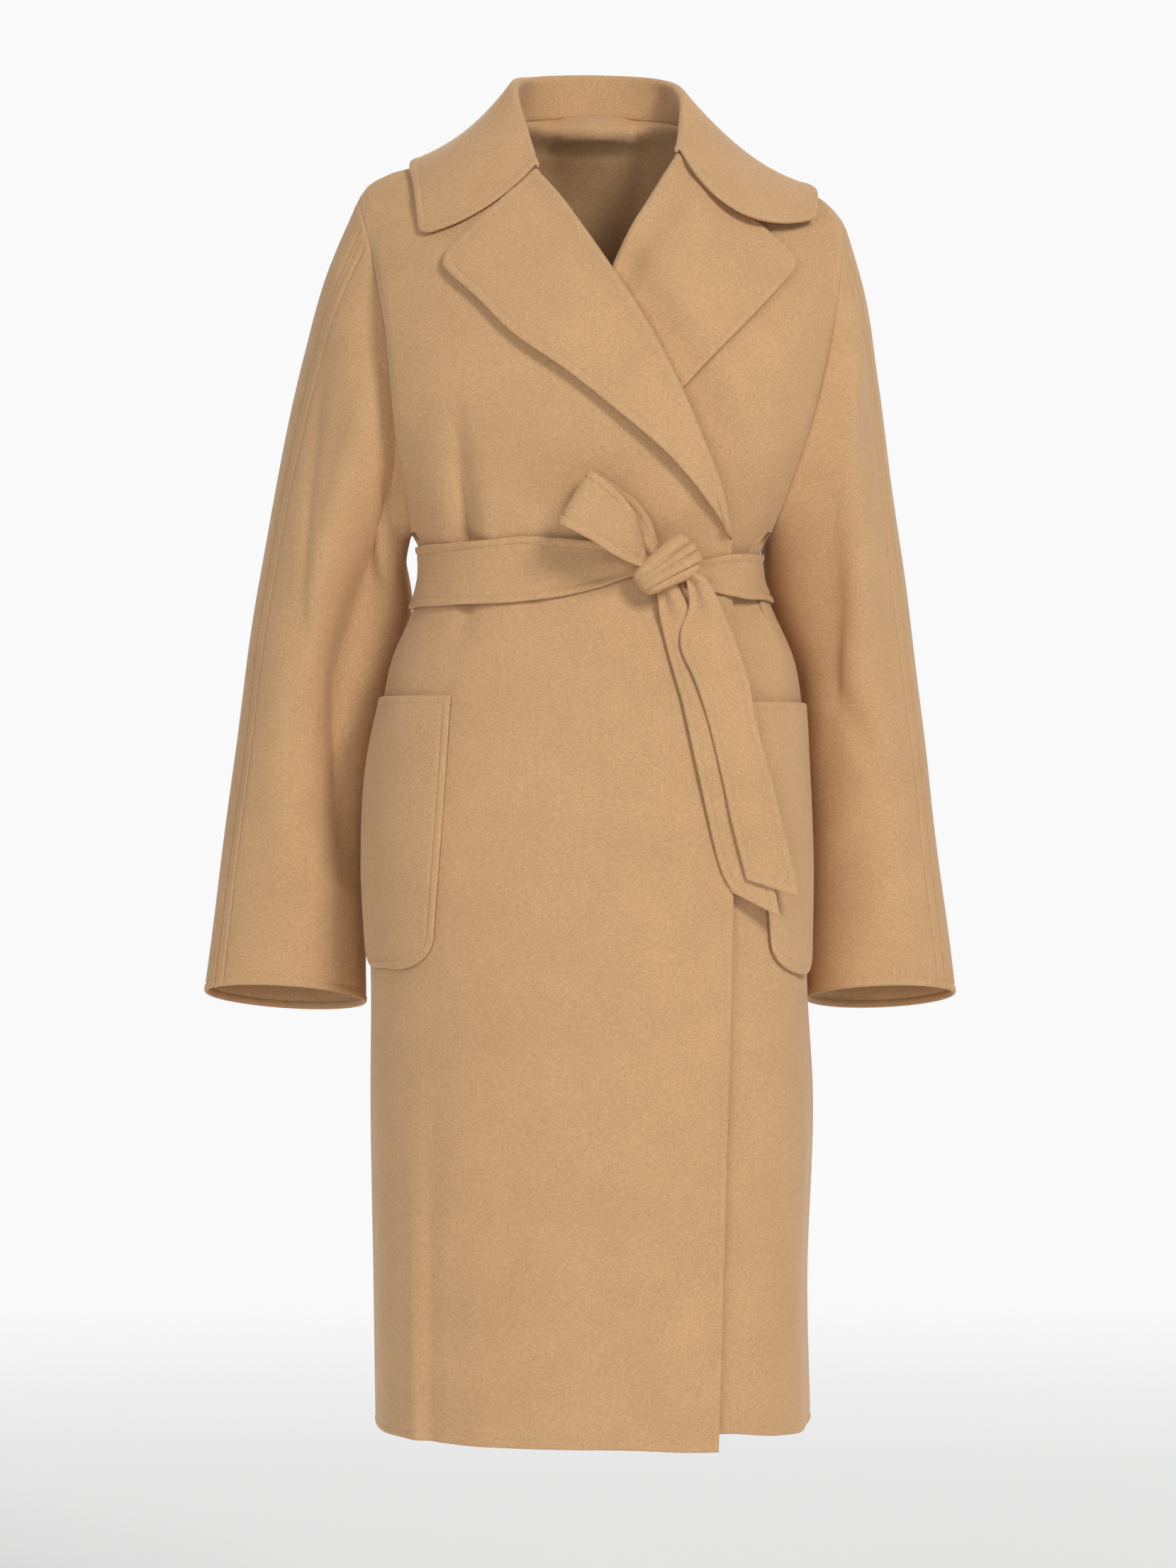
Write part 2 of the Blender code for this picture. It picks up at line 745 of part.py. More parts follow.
def corner_pull(share, s):
    """Rounds the lapel's tip, at the outer end of its top row."""
    return 1 - LAPEL_TIP_PULL * ease(1 - share * UPPER_ROWS) * ease((s - 0.7) / 0.3)


def lapel_lift(side, share, s):
    """How far the leaf stands off beyond the roll, most at its outer edge."""
    if side == LEFT:
        return 2.5 * MM * s * ease((0.45 - share) / 0.3)
    return (2.5 + 3.5 * ease(share * 1.2)) * MM * s * min(1.0, 5 * (1 - share))


def back_half(side):
    """Half of the back, from its middle to the armhole and the side seam."""
    start = np.array([0.0, NECK_BACK_HEIGHT])
    foot = np.array([0.0, UNDERARM_HEIGHT])
    neck = shoulder_seam(side, NECK_SHARE)

    def middle(v):
        return start + (foot - start) * (1 - math.cos(math.pi * v)) / 2

    def top_line(t):
        if t < NECK_SHARE:
            share = t / NECK_SHARE
            return np.array([neck[0] * share, start[1] + (neck[1] - start[1]) * share**2])
        return shoulder_seam(side, t)

    upper = upper_half(side, 1, middle, top_line)
    lower = lower_half(side, 1, lambda z: 0.0)
    return np.concatenate([upper, lower])


def sleeve(side):
    """Rings from the armhole to the cuff."""
    data = SLEEVE_RIGHT if side == RIGHT else SLEEVE_LEFT
    rings = []
    for row in range(SLEEVE_ROWS + 1):
        share = row / SLEEVE_ROWS
        names = ("top_x", "top_z", "under_x", "under_z", "depth", "behind", "swing")
        top_x, top_z, under_x, under_z, depth, behind, swing = (
            along(data, n, share) for n in names
        )
        tucked = max(0.0, 1 - 5 * share)
        ring = []
        for step in range(2 * UPPER_ROWS):
            angle = math.pi * step / UPPER_ROWS
            middle = (1 + math.cos(angle)) / 2
            x = under_x + (top_x - under_x) * middle
            x += side * (swing * math.sin(angle) * (1 - middle) - tucked * armhole_tuck(side, angle))
            z = under_z + (top_z - under_z) * middle
            z -= CUFF_DIP * ease((share - 0.7) / 0.3) * (1 - math.sin(angle)) / 2
            ring.append((x, behind - depth * math.sin(angle), z))
        rings.append(ring + ring[:1])
    return np.array(rings)


def facing(grid, outward):
    """The grid, turned if need be, so that its quads face outward(point)."""
    middle = (len(grid) // 2, len(grid[0]) // 2)
    a, b = grid[middle], grid[middle[0] + 1, middle[1]]
    c = grid[middle[0], middle[1] + 1]
    return grid if np.cross(b - a, c - a) @ outward(a) > 0 else grid[:, ::-1]


def body_sheets():
    """The fronts, the back and the sleeves, which are sewn to each other."""
    sheets = []
    back = Sheet("back")
    for side, name in ((RIGHT, "right"), (LEFT, "left")):
        panel = front_panel(side)
        front = Sheet("front_" + name)
        front.add_grid(facing(panel, lambda p: np.array([0.0, -1.0, 0.0])))
        front.add_grid(facing(lapel(side, panel), lambda p: np.array([0.0, 1.0, 0.0])))
        back.add_grid(facing(back_half(side), lambda p: np.array([0.0, 1.0, 0.0])))
        grid = sleeve(side)
        centre = grid.mean(axis=(0, 1))
        arm = Sheet("sleeve_" + name)
        arm.add_grid(facing(grid, lambda p: p - centre))
        sheets += [front, arm]
    return [*sheets, back]


def collar_sheet():
    """The collar in one piece: a stand up from the neck seam, a fold, and a fall to the outside."""
    rows = []
    for row in range(COLLAR_ROWS + 1):
        share = row / COLLAR_ROWS
        seam, roll, mid, edge = (
            np.array([along(COLLAR, f"{part}_{axis}", share) for axis in "xyz"])
            for part in ("seam", "roll", "mid", "edge")
        )
        outward = (edge - seam) * (1, 1, 0)
        outward = outward / np.linalg.norm(outward)
        high = min(1.0, max(roll[2] - seam[2], 0) / (12 * MM))
        fold = COLLAR_FOLD * (0.6 + 0.4 * high)
        under = roll - outward * fold - np.array([0, 0, fold])
        over = roll + outward * fold - np.array([0, 0, fold])
        points = [seam + (under - seam) * k / STAND_COLUMNS for k in range(STAND_COLUMNS + 1)]
        lean = math.sqrt(0.5)
        centre = roll - np.array([0, 0, fold])
        points += [centre + fold * (outward * turn + np.array([0, 0, up]))
                   for turn, up in ((-lean, lean), (0, 1), (lean, lean))]
        rounding = corner_rounding(share)
        for column in range(FALL_COLUMNS + 1):
            s = column / FALL_COLUMNS * rounding
            points.append((1 - s) ** 2 * over + 2 * s * (1 - s) * mid + s * s * edge)
        rows.append(points)
    sheet = Sheet("collar")
    sheet.add_grid(facing(np.array(rows), lambda p: np.array([0.0, 1.0, 0.3])))
    return sheet


def corner_rounding(share):
    """Rounds the collar's two front corners."""
    at_end = min(share, 1 - share) * COLLAR_ROWS < 0.5
    return COLLAR_END_REACH if at_end else 1.0


def pocket_sheet(side, name):
    """A patch on the front, from its inner edge round to just before the side seam."""
    data = POCKET_RIGHT if side == RIGHT else POCKET_LEFT
    top, foot = data["height"][0], data["height"][-1]
    straight = top - foot - POCKET_CORNER
    heights = [(top - straight * row / POCKET_ROWS, 0.0) for row in range(POCKET_ROWS + 1)]
    for row in range(1, CORNER_ROWS + 1):
        turn = math.pi / 2 * row / CORNER_ROWS
        heights.append((foot + POCKET_CORNER * (1 - math.sin(turn)), 1 - math.cos(turn)))
    rows = []
    for z, rounding in heights:
        inner = float(along(data, "across", z)) + POCKET_CORNER * rounding
        first = abs(float(ring_angle(side * inner, z)))
        last = POCKET_END - POCKET_END_CORNER * rounding
        points = []
        for column in range(POCKET_COLUMNS + 1):
            angle = first + (last - first) * column / POCKET_COLUMNS
            points.append(ring_point(side * angle, z, POCKET_LIFT))
        rows.append(points)
    sheet = Sheet(name)
    sheet.add_grid(facing(np.array(rows), lambda p: np.array([side * 1.0, -1.0, 0.0])))
    return sheet


def belt_sheet():
    """The belt round the waist, from the knot round the back and to the knot again."""
    rows = []
    first, last = BELT["turn"][0], BELT["turn"][-1]
    for step in range(BELT_STEPS + 1):
        turn = first + (last - first) * step / BELT_STEPS
        top, bottom, lift = (along(BELT, c, turn) for c in ("top", "bottom", "lift"))
        angle = math.radians(turn)
        rows.append([ring_point(angle, top + (bottom - top) * k / 3, lift) for k in range(4)])
    sheet = Sheet("belt_waist")
    sheet.add_grid(facing(np.array(rows), lambda p: p * (1, 1, 0)))
    return sheet


def loop_sheet():
    rows = []
    for step in range(LOOP_STEPS + 1):
        share = step / LOOP_STEPS
        columns = ("top_x", "top_z", "bottom_x", "bottom_z", "out")
        top_x, top_z, bottom_x, bottom_z, out = (along(LOOP, c, share) for c in columns)
        top = np.array([top_x, -out, top_z])
        bottom = np.array([bottom_x, -out, bottom_z])
        rows.append([top + (bottom - top) * k / 4 for k in range(5)])
    sheet = Sheet("belt_loop")
    sheet.add_grid(np.array(rows))
    return sheet


def tail_y(x, z, lift):
    """The y of a tail that hangs over the front, leaning on it along one line."""
    hangs = ease((KNOT_MIDDLE[2] - z) / (75 * MM))
    line = 56 * MM + (-430 * MM - z) * 0.26
    below = float(body_y(line, z, -1, folded=False)) - lift + TAIL_TURN * (x - line)
    at_knot = KNOT_MIDDLE[1] - (lift - TAIL_BACK_LIFT) + 2 * MM
    return min(at_knot * (1 - hangs) + below * hangs, below)


def tail_sheet(name, data, lift):
    rows = []
    for step in range(TAIL_STEPS + 1):
        share = step / TAIL_STEPS
        left = [along(data, c, share) for c in ("left_x", "left_z")]
        right = [along(data, c, share) for c in ("right_x", "right_z")]
        points = []
        for k in range(4):
            x = left[0] + (right[0] - left[0]) * k / 3
            z = left[1] + (right[1] - left[1]) * k / 3
            points.append(np.array([x, tail_y(x, z, lift), z]))
        rows.append(points)
    sheet = Sheet(name)
    sheet.add_grid(facing(np.array(rows), lambda p: np.array([0.0, -1.0, 0.0])))
    return sheet


def add_knot(name, clearance=0.0, rings=12, sides=18):
    """The knot: a flattened ball of three slanting wraps."""
    points, faces = [], []
    for ring in range(1, rings):
        polar = math.pi * ring / rings
        for k in range(sides):
            angle = 2 * math.pi * k / sides
            wrap = 1 + KNOT_RIDGE * math.cos(3 * angle) * math.sin(polar)
            across = math.sin(polar) * wrap
            points.append((math.cos(polar), across * math.cos(angle), across * math.sin(angle)))
    points += [(1.0, 0.0, 0.0), (-1.0, 0.0, 0.0)]
    size = np.array(KNOT_SIZE) + clearance
    along_knot = np.array([math.cos(KNOT_SLOPE), 0, math.sin(KNOT_SLOPE)])
    across_knot = np.array([-math.sin(KNOT_SLOPE), 0, math.cos(KNOT_SLOPE)])
    through = np.array([0.0, -1.0, 0.0])
    flat = np.array(points) * size
    placed = flat[:, :1] * along_knot + flat[:, 1:2] * across_knot + flat[:, 2:] * through
    placed = placed + np.array(KNOT_MIDDLE)
    for ring in range(rings - 2):
        for k in range(sides):
            a, b = ring * sides + k, ring * sides + (k + 1) % sides
            faces.append([a, b, b + sides, a + sides])
    first_pole, last_pole = (rings - 1) * sides, (rings - 1) * sides + 1
    last_ring = (rings - 2) * sides
    for k in range(sides):
        faces.append([first_pole, (k + 1) % sides, k])
        faces.append([last_pole, last_ring + k, last_ring + (k + 1) % sides])
    return add_object(name, placed, faces)


def seat_on_knot(piece, cutter):
    """Ends a piece of belt at the knot's surface."""
    cut = piece.modifiers.new("knot", "BOOLEAN")
    cut.operation = "DIFFERENCE"
    cut.object = cutter


def add_belt():
    add_knot("belt_knot")
    cutter = add_knot("knot_clearance", clearance=SEAM_GAP)
    cutter.hide_render = True
    cutter.display_type = "WIRE"
    tails = [
        tail_sheet("belt_tail_front", TAIL_FRONT, TAIL_FRONT_LIFT),
        tail_sheet("belt_tail_back", TAIL_BACK, TAIL_BACK_LIFT),
    ]
    for sheet in [belt_sheet(), loop_sheet()] + tails:
        seat_on_knot(thicken(sheet, sheet.normals()), cutter)


def main():
    for old in list(bpy.data.objects):
        bpy.data.objects.remove(old)
    sheets = body_sheets()
    normals = sew(sheets)
    for sheet in sheets:
        thicken(sheet, normals[sheet.name])
    patches = [
        collar_sheet(),
        pocket_sheet(RIGHT, "pocket_right"),
        pocket_sheet(LEFT, "pocket_left"),
    ]
    for sheet in patches:
        thicken(sheet, sheet.normals())
    add_belt()


main()
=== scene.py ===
"""The looks of a camel wool wrap coat with a tied belt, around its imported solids.

Each piece of cloth is a thin closed shell on the form of its solid, with the creases, the
pressed edges and the seams that the solid leaves out. +Z is up, the front is towards -Y and
the wearer's right side at -X. Points and sizes of the cloth are in millimetres until
add_mesh makes metres of them. The floor, the lamps and the camera are placed in metres.
"""

import math

import bpy
import numpy as np
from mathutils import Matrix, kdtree


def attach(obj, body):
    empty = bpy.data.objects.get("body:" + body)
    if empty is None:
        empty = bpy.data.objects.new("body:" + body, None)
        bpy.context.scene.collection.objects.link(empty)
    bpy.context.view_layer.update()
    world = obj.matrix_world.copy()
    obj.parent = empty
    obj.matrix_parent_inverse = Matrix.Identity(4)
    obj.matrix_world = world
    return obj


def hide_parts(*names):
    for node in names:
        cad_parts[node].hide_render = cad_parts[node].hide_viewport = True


MM = 0.001

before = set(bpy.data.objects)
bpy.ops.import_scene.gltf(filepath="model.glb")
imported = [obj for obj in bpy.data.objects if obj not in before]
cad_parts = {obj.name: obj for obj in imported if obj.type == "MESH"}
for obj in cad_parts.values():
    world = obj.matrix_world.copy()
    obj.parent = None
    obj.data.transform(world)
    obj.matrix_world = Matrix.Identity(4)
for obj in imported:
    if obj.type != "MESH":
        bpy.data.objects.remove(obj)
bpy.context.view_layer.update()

RIGHT, LEFT = -1, 1  # the wearer's, as the sign of x
FRONT, BACK = -1, 1  # as the sign of y
SIDE_NAMES = {RIGHT: "right", LEFT: "left"}
FORWARD = np.array([0.0, -1.0, 0.0])
BACKWARD = np.array([0.0, 1.0, 0.0])

# Sizes of the construction, the same as in the solids.
CLOTH = 2.6
UNDERARM_HEIGHT = -336
FRONT_BREAK_HEIGHT = -346
HEM_HEIGHT = -1055
ROLL_RADIUS = 3.3
ROUNDNESS = 2.3
SIDE_SEAM_BEHIND = math.radians(12)
UNDERLAP_SINK = 10.5
BELT_SINK = 6.0
SINK_SHARE = 0.12  # of the roll line's height, over which the under front sinks deeper
SINK_EDGE = (48, 8)  # past the over front's edge, where that starts and is full
SLOPE_FADE = (-300, -100)  # heights between which the shoulders' slope fades in
NECK_SHARE = 0.4
NECK_BACK_HEIGHT = 8
NECK_BACK_DEPTH = 62
NECK_SIDE = 80
NECK_FLAT = 30  # from the middle, as far as the back's neck has its full hollow
TURN_BULGE = 1.5  # of a panel past its crest, where it turns back to the armhole
TURN_BULGE_DEPTH = 20  # from the crest to the seam, from which the bulge is full
CREST_SHARE = 0.90  # of the half width, where the skirt's panels turn to the side seam
CREST_SHARE_TOP = 0.066  # what is added to it at the underarm
CREST_FADE = 10  # how fast that dies out, per length of the skirt

# Sizes that the solids don't have.
NECK_BLEND = 24  # from the middle to where each side's own shoulder line starts
ARMHOLE_OPENS = 0.84  # the share of a panel's width from which it opens out to the armhole
ARMHOLE_OPENING = 0.97  # of the armhole's own depth
BREAK_FADE = 50  # how fast the fold of a lapel narrows to the break, per share of its length
TURN_FADE = 36  # the same, for how far the fold turns
LIFT_FADE = 30  # the same, for how far the leaf stands off

# The finish of every free edge: a soft pressed band with a shallow groove along its inner side.
EDGE_ROUND = 1.5
BAND_PUFF = 0.35
BAND_MIDDLE = 3.4
BAND_WIDTH = 1.9
GROOVE_DEPTH = 0.75
GROOVE_AT = 6.6
GROOVE_WIDTH = 0.95
SEAM_GROOVE = 0.7
SEAM_WIDTH = 1.6

# How strongly a piece shows the groove, where it isn't all of it.
GROOVE_SHARES = {"collar": 0.45, "front_right": 0.62, "front_left": 0.62, "back": 0.5}
GROOVE_SHARES.update(pocket_right=0.8, pocket_left=0.8)

# Where points lie in from a free edge, so that its band has a form.
EDGE_STEPS = np.array([0, 0.15, 0.45, 0.9, 1.5, 2.4, 3.6, 4.8, 5.6, 6.2, 6.8, 7.5, 8.4, 9.8])

MERGE_DISTANCE = 0.002  # between points of one piece that are the same point
MEETING_DISTANCE = 0.02  # between points of two pieces that are sewn together
LEAST_FACE = 1e-6  # square millimetres
TINY = 1e-12  # keeps a division by a length safe


def table(columns, *rows):
    """A short table, as one array for each named column."""
    return dict(zip(columns.split(), np.array(rows, float).T))


def pair(columns, first, second):
    """Two tables with the same columns: of right and left, or of the front and the back."""
    return {-1: table(columns, *first), 1: table(columns, *second)}


def along(data, column, at, key=None):
    """The column's value at each key, on a smooth curve through the table's rows."""
    key = key or next(iter(data))
    x, y = data[key], data[column]
    if x[0] > x[-1]:
        x, y = x[::-1], y[::-1]
    at = np.clip(at, x[0], x[-1])
    slope = np.gradient(y, x)
    i = np.clip(np.searchsorted(x, at, side="right") - 1, 0, len(x) - 2)
    width = x[i + 1] - x[i]
    t = (at - x[i]) / width
    lean = width * t * (1 - t) * (slope[i] * (1 - t) - slope[i + 1] * t)
    return between(y[i], y[i + 1], t * t * (3 - 2 * t)) + lean


def row_at(data, at):
    """The values of all columns but the first, at a key in the first."""
    return np.array([along(data, column, at) for column in list(data)[1:]])


def ease(value, start=0, end=1):
    """0 up to the start, 1 from the end on, and smooth between, rising or falling."""
    value = np.clip((value - start) / (end - start), 0, 1)
    return value * value * (3 - 2 * value)


def between(first, last, share):
    return first + (last - first) * share


def curve(first, control, last, share):
    """Points on the bent line between two ends that leaves both towards the control."""
    return (1 - share) ** 2 * first + 2 * share * (1 - share) * control + share * share * last


def bump(off, width):
    """A soft bump of height 1, at a distance from its middle."""
    return np.exp(-((off / width) ** 2))


def blunt(value, power):
    """A sine or cosine with its size raised to a power, for a form blunter than an ellipse."""
    return np.sign(value) * np.abs(value) ** power


def stepped(length, step, from_start=True, from_end=True):
    """Shares of a length, evenly spaced but for the closer steps next to its free edges."""
    margin = EDGE_STEPS[-1]
    start = margin if from_start else 0
    end = length - margin if from_end else length
    count = max(2, int(round((end - start) / step)) + 1)
    places = [np.linspace(start, end, count)]
    if from_start:
        places.insert(0, EDGE_STEPS[:-1])
    if from_end:
        places.append(length - EDGE_STEPS[:-1][::-1])
    return np.concatenate(places) / length


def resampled(shares, count):
    """The shares as another count of them, the same in every row of a grid."""
    return np.interp(np.linspace(0, 1, count), np.linspace(0, 1, len(shares)), shares)


# The construction's tables, as in the solids, but for the sleeves' swing and the collar's end.
DEPTH = table(
    "level front back",
    (0, 0, 0), (-10, 24, 24), (-22, 39, 40), (-42, 58, 60), (-70, 79, 78), (-100, 97, 91),
    (-140, 111, 101), (-200, 121, 106), (-260, 121, 101), (-310, 114, 93), (-345, 106, 86),
    (-372, 102, 83), (-398, 105, 88), (-440, 119, 108), (-500, 133, 128), (-600, 141, 139),
    (-750, 146, 146), (-1055, 151, 150),
)
WIDTH = table(
    "height right left",
    (0, 216, 222), (-100, 213, 220), (-150, 207, 214), (-200, 197, 203), (-250, 181, 185),
    (-290, 165, 166), (-336, 146, 140.5), (-350, 140.5, 132.5), (-372, 139, 131.5),
    (-398, 146, 141.5), (-440, 163.5, 159.5), (-473, 170.5, 165), (-516, 180, 168),
    (-600, 185, 171.5), (-690, 181, 171), (-790, 182, 177), (-950, 180, 173),
    (-1055, 178.5, 175.5),
)
SHOULDER = table(
    "across right left",
    (0, -9, -10), (80, -10, -12), (120, -29, -36), (147, -41, -49), (167, -47, -59),
    (183, -57, -68), (192, -67, -77), (200, -77, -87), (225, -112, -122),
)
CREST = pair(
    "height across",
    [(-57, 183), (-98, 176), (-145, 168), (-212, 162), (-256, 158), (-298, 150), (-336, 144)],
    [(-77, 192), (-110, 194), (-145, 188), (-185, 180), (-212, 175), (-245, 164), (-288, 156),
     (-336, 138)],
)
ROLL = pair(
    "share across height",
    [(0, -48, -50), (0.09, -28, -74), (0.19, -8, -103), (0.29, 12, -133), (0.42, 39, -175),
     (0.58, 65, -225), (0.72, 84, -268), (0.86, 99, -306), (1, 108, -346)],
    [(0, 66, -36), (0.15, 44, -74), (0.27, 27, -103), (0.37, 14, -131), (0.48, 0, -165),
     (0.62, -16, -208), (0.78, -35, -262), (0.9, -50, -305), (1, -60, -346)],
)
LAPEL = pair(
    "share across height",
    [(0, -123, -122), (0.06, -118, -133), (0.15, -95, -155), (0.25, -68, -183),
     (0.4, -22, -216), (0.55, 17, -247), (0.7, 57, -281), (0.85, 86, -314), (0.94, 100, -333),
     (1, 107, -346)],
    [(0, 163, -122), (0.08, 152, -138), (0.2, 121, -173), (0.33, 88, -207), (0.47, 55, -242),
     (0.62, 20, -272), (0.78, -15, -303), (0.9, -40, -326), (1, -59, -346)],
)
FRONT_EDGE = table(
    "height right left",
    (-346, 108, -60), (-480, 109.5, -58), (-630, 108, -55), (-850, 102, -52), (-1055, 96, -50),
)
COLLAR = table(
    "share seam_x seam_y seam_z roll_x roll_y roll_z mid_x mid_y mid_z edge_x edge_y edge_z",
    (0, -50, -56, -46.5, -47.5, -63, -46.5, -84, -94, -92, -140, -67, -103),
    (0.11, -66, -31, -24, -58, -33, -12, -103, -55, -40, -145, -43, -66),
    (0.25, -80, 2, -7, -66, 2, 27, -101, 2, -18, -147, 4, -35),
    (0.375, -60, 43, 3, -50, 47, 38, -84, 68, 4, -110, 47, -46),
    (0.5, 0, 63, 10, 0, 66, 42, 0, 90, 28, 0, 85, -32),
    (0.625, 60, 43, 2, 52, 47, 36, 88, 68, 0, 122, 45, -56),
    (0.75, 80, 2, -9, 70, 2, 20, 120, 2, -40, 172, 4, -55),
    (0.89, 74, -27, -22, 70, -29, -12, 119, -62, -70, 178, -33, -76),
    (1, 68, -49, -35, 66, -54, -33, 105, -116, -110, 175, -42, -88),
)
BELT = table(
    "turn top bottom lift",
    (28, -366, -380, 10.4), (36, -362, -386, 6.4), (50, -357, -391, 4.2), (75, -355, -392, 4.2),
    (100, -353, -394, 4.2), (180, -347, -397, 4.2), (270, -348, -398, 4.2),
    (322, -347, -397, 4.2), (342, -344, -395, 4.2), (358, -347, -387, 5.4),
    (368, -353, -377, 8.4), (374, -357, -374, 11.4),
)
LOOP = table(
    "share top_x top_z bottom_x bottom_z out",
    (0, 37, -351, 40, -370, 124), (0.1, 34, -340, 29, -367, 134),
    (0.22, 28, -324, 15, -361, 145), (0.36, 13, -307, -4, -349, 148),
    (0.48, -4, -294, -28, -336, 144), (0.54, -3, -293, -27, -335, 133),
    (0.66, 14, -304, -7, -343, 125), (0.8, 34, -319, 15, -355, 121),
    (0.9, 44, -334, 32, -362, 119), (1, 49, -352, 44, -368, 117),
)
TAIL_FRONT = table(
    "share left_x left_z right_x right_z",
    (0, 68, -372, 82, -374), (0.09, 72, -383, 91, -384), (0.18, 73, -401, 101, -405),
    (0.26, 67, -418, 108, -421), (0.34, 67, -433, 115, -441), (0.44, 77, -456, 121, -461),
    (0.56, 87, -486, 126, -491), (0.7, 99, -535, 138, -535), (0.85, 107, -572, 147, -572),
    (1, 118, -614, 160, -628),
)
TAIL_BACK = table(
    "share left_x left_z right_x right_z",
    (0, 47, -376, 62, -378), (0.09, 49, -392, 69, -392), (0.18, 50, -405, 78, -406),
    (0.26, 54, -424, 88, -425), (0.34, 58, -440, 97, -443), (0.44, 65, -465, 106, -468),
    (0.56, 69, -480, 110, -484), (0.7, 81, -535, 122, -537), (0.85, 96, -600, 137, -604),
    (1, 107, -624, 145, -644),
)
SLEEVE = pair(
    "share top_x top_z under_x under_z depth behind swing",
    [(0, -191, -68, -148, -336, 54, 0, 0), (0.1, -217, -131, -154, -364, 58, 5, 4),
     (0.2, -236, -194, -152, -398, 66, 24, 12), (0.35, -257, -289, -168, -455, 62, 33, 13),
     (0.5, -274, -383, -181, -512, 57, 38, 5), (0.65, -288, -478, -187, -568, 51, 41, 0),
     (0.8, -301, -572, -188, -630, 47, 40, 0), (1, -318, -698, -188, -706, 43, 38, 0)],
    [(0, 200, -87, 140.5, -336, 54, 0, 0), (0.1, 218, -148, 147, -364, 62, 8, 34),
     (0.2, 228, -209, 148.5, -398, 67, 26, 36), (0.35, 241, -301, 165, -455, 63, 36, 16),
     (0.5, 254, -393, 170, -512, 57, 42, 0), (0.65, 266, -485, 172, -568, 52, 46, 0),
     (0.8, 277, -577, 173, -630, 49, 48, 0), (1, 293, -700, 173, -704, 49, 47, 0)],
)
POCKET = pair(
    "height across",
    [(-469, 112), (-560, 118), (-640, 124), (-685, 127)],
    [(-474, 118), (-560, 127), (-640, 134), (-690, 138)],
)

# The body's folds: the end where each has died out, its deep end, its width and its depth.
FOLDS = pair(
    "from_x from_z to_x to_z width depth",
    [(-117, -205, -99, -352, 9, 9), (-108, -440, -99, -392, 9, 5),
     (-128, -800, -139, -1060, 16, -5), (-106, -760, -116, -1060, 18, 4),
     (130, -455, 118, -392, 7, 5), (148, -820, 158, -1060, 13, 6)],
    [(-96, -215, -84, -352, 12, 8), (-30, -235, -26, -352, 11, 6), (44, -225, 40, -352, 12, 8),
     (100, -240, 92, -352, 10, 6), (-98, -510, -88, -392, 12, 7), (-20, -490, -18, -392, 12, 6),
     (66, -510, 60, -392, 12, 7), (-110, -780, -118, -1060, 22, -6),
     (40, -800, 48, -1060, 24, -5)],
)
POCKET_CORNER = 26
POCKET_END = math.radians(86)  # round the body from the front's middle
POCKET_END_CORNER = math.radians(14)  # the same corner at the pocket's far end
COLLAR_FOLD = 3.0  # the radius of the collar's fold
TAIL_FRONT_LIFT = 10.0
TAIL_BACK_LIFT = 5.5
TAIL_TURN = 0.30  # how fast a tail recedes from its left edge to its right edge
ARMHOLE_DEPTH = 54
ARMHOLE_TUCK = {RIGHT: (8, 1), LEFT: (-11, -11)}
CUFF_DIP = 22  # how much lower a cuff's back edge hangs than its front edge
KNOT_MIDDLE = np.array([56, -118, -368])
KNOT_SIZE = np.array([27.5, 19, 13])
KNOT_SLOPE = math.radians(33)
POCKET_LIFT = 2.9  # closer than in the solids, as sewn on
POCKET_PUFF = 1.2  # of a pocket's middle
POCKET_GAPE = 2.2  # what is added to it at the open top
POCKET_GAPE_HEIGHT = 60

# Finer creases than the solids hold.
CREASES = pair(
    "from_x from_z to_x to_z width depth",
    [(-113, -205, -98, -352, 4, 6), (-97, -235, -86, -352, 8, -2.2),
     (-42, -300, -32, -352, 10, 1.6), (6, -296, 14, -352, 9, 1.8),
     (-119, -446, -120, -474, 3.2, 3.4), (-107, -436, -98, -392, 4.5, 3.4),
     (-90, -424, -86, -392, 4, 1.6), (-50, -414, -47, -392, 6, 2.2),
     (112, -432, 108, -392, 4, 4.5), (139, -452, 131, -393.99, 5, 5),
     (-141, -700, -144, -1060, 6, -5.5), (-127, -640, -131, -1060, 7, 6),
     (152, -640, 163, -1060, 7.5, -8), (-66, -620, -76, -1060, 26, 1.8),
     (-22, -480, -30, -1060, 30, -1.4), (26, -560, 34, -1060, 24, 1.6),
     (66, -700, 72, -1060, 18, -1.5)],
    [(-70, -120, -84, -352, 26, -2.5), (66, -130, 78, -352, 24, -2.2),
     (8, -60, 10, -352, 22, 2.4), (-60, -452, -56, -392, 6, 4), (28, -440, 24, -392, 5, 3),
     (104, -470, 92, -392, 6, 4), (-124, -462, -112, -392, 6, 4),
     (-50, -620, -56, -1060, 30, 2.6), (94, -660, 104, -1060, 26, 3.2),
     (6, -640, 4, -1060, 26, -2.2)],
)
RIPPLE = 0.7
RIPPLE_SIZE = 130
LAPEL_SOFT = 0.8
LAPEL_SOFT_SIZE = 90
LAPEL_LIFT_RIGHT = (1.4, 4.0)  # of the leaf's outer edge, at the top and lower down
LAPEL_LIFT_LEFT = 2.5
SLEEVE_SOFT = 1.0
SLEEVE_SOFT_SIZE = 160
EDGE_LIFT = 2.8  # of the over front's edge, below the belt
EDGE_LIFT_WIDTH = 7.5
EDGE_LIFT_HEIGHTS = (-396, -436)  # where it starts and is full
EDGE_PEAK = 1.6  # times as much, near where the lapel ends
EDGE_PEAK_HEIGHT = -334
EDGE_PEAK_REACH = 22
HEM_FADE = (-700, -1000)  # where the hem's unevenness starts and is full
HEM_DROP = 2
HEM_DROP_FROM = (-150, -90)  # across the over front
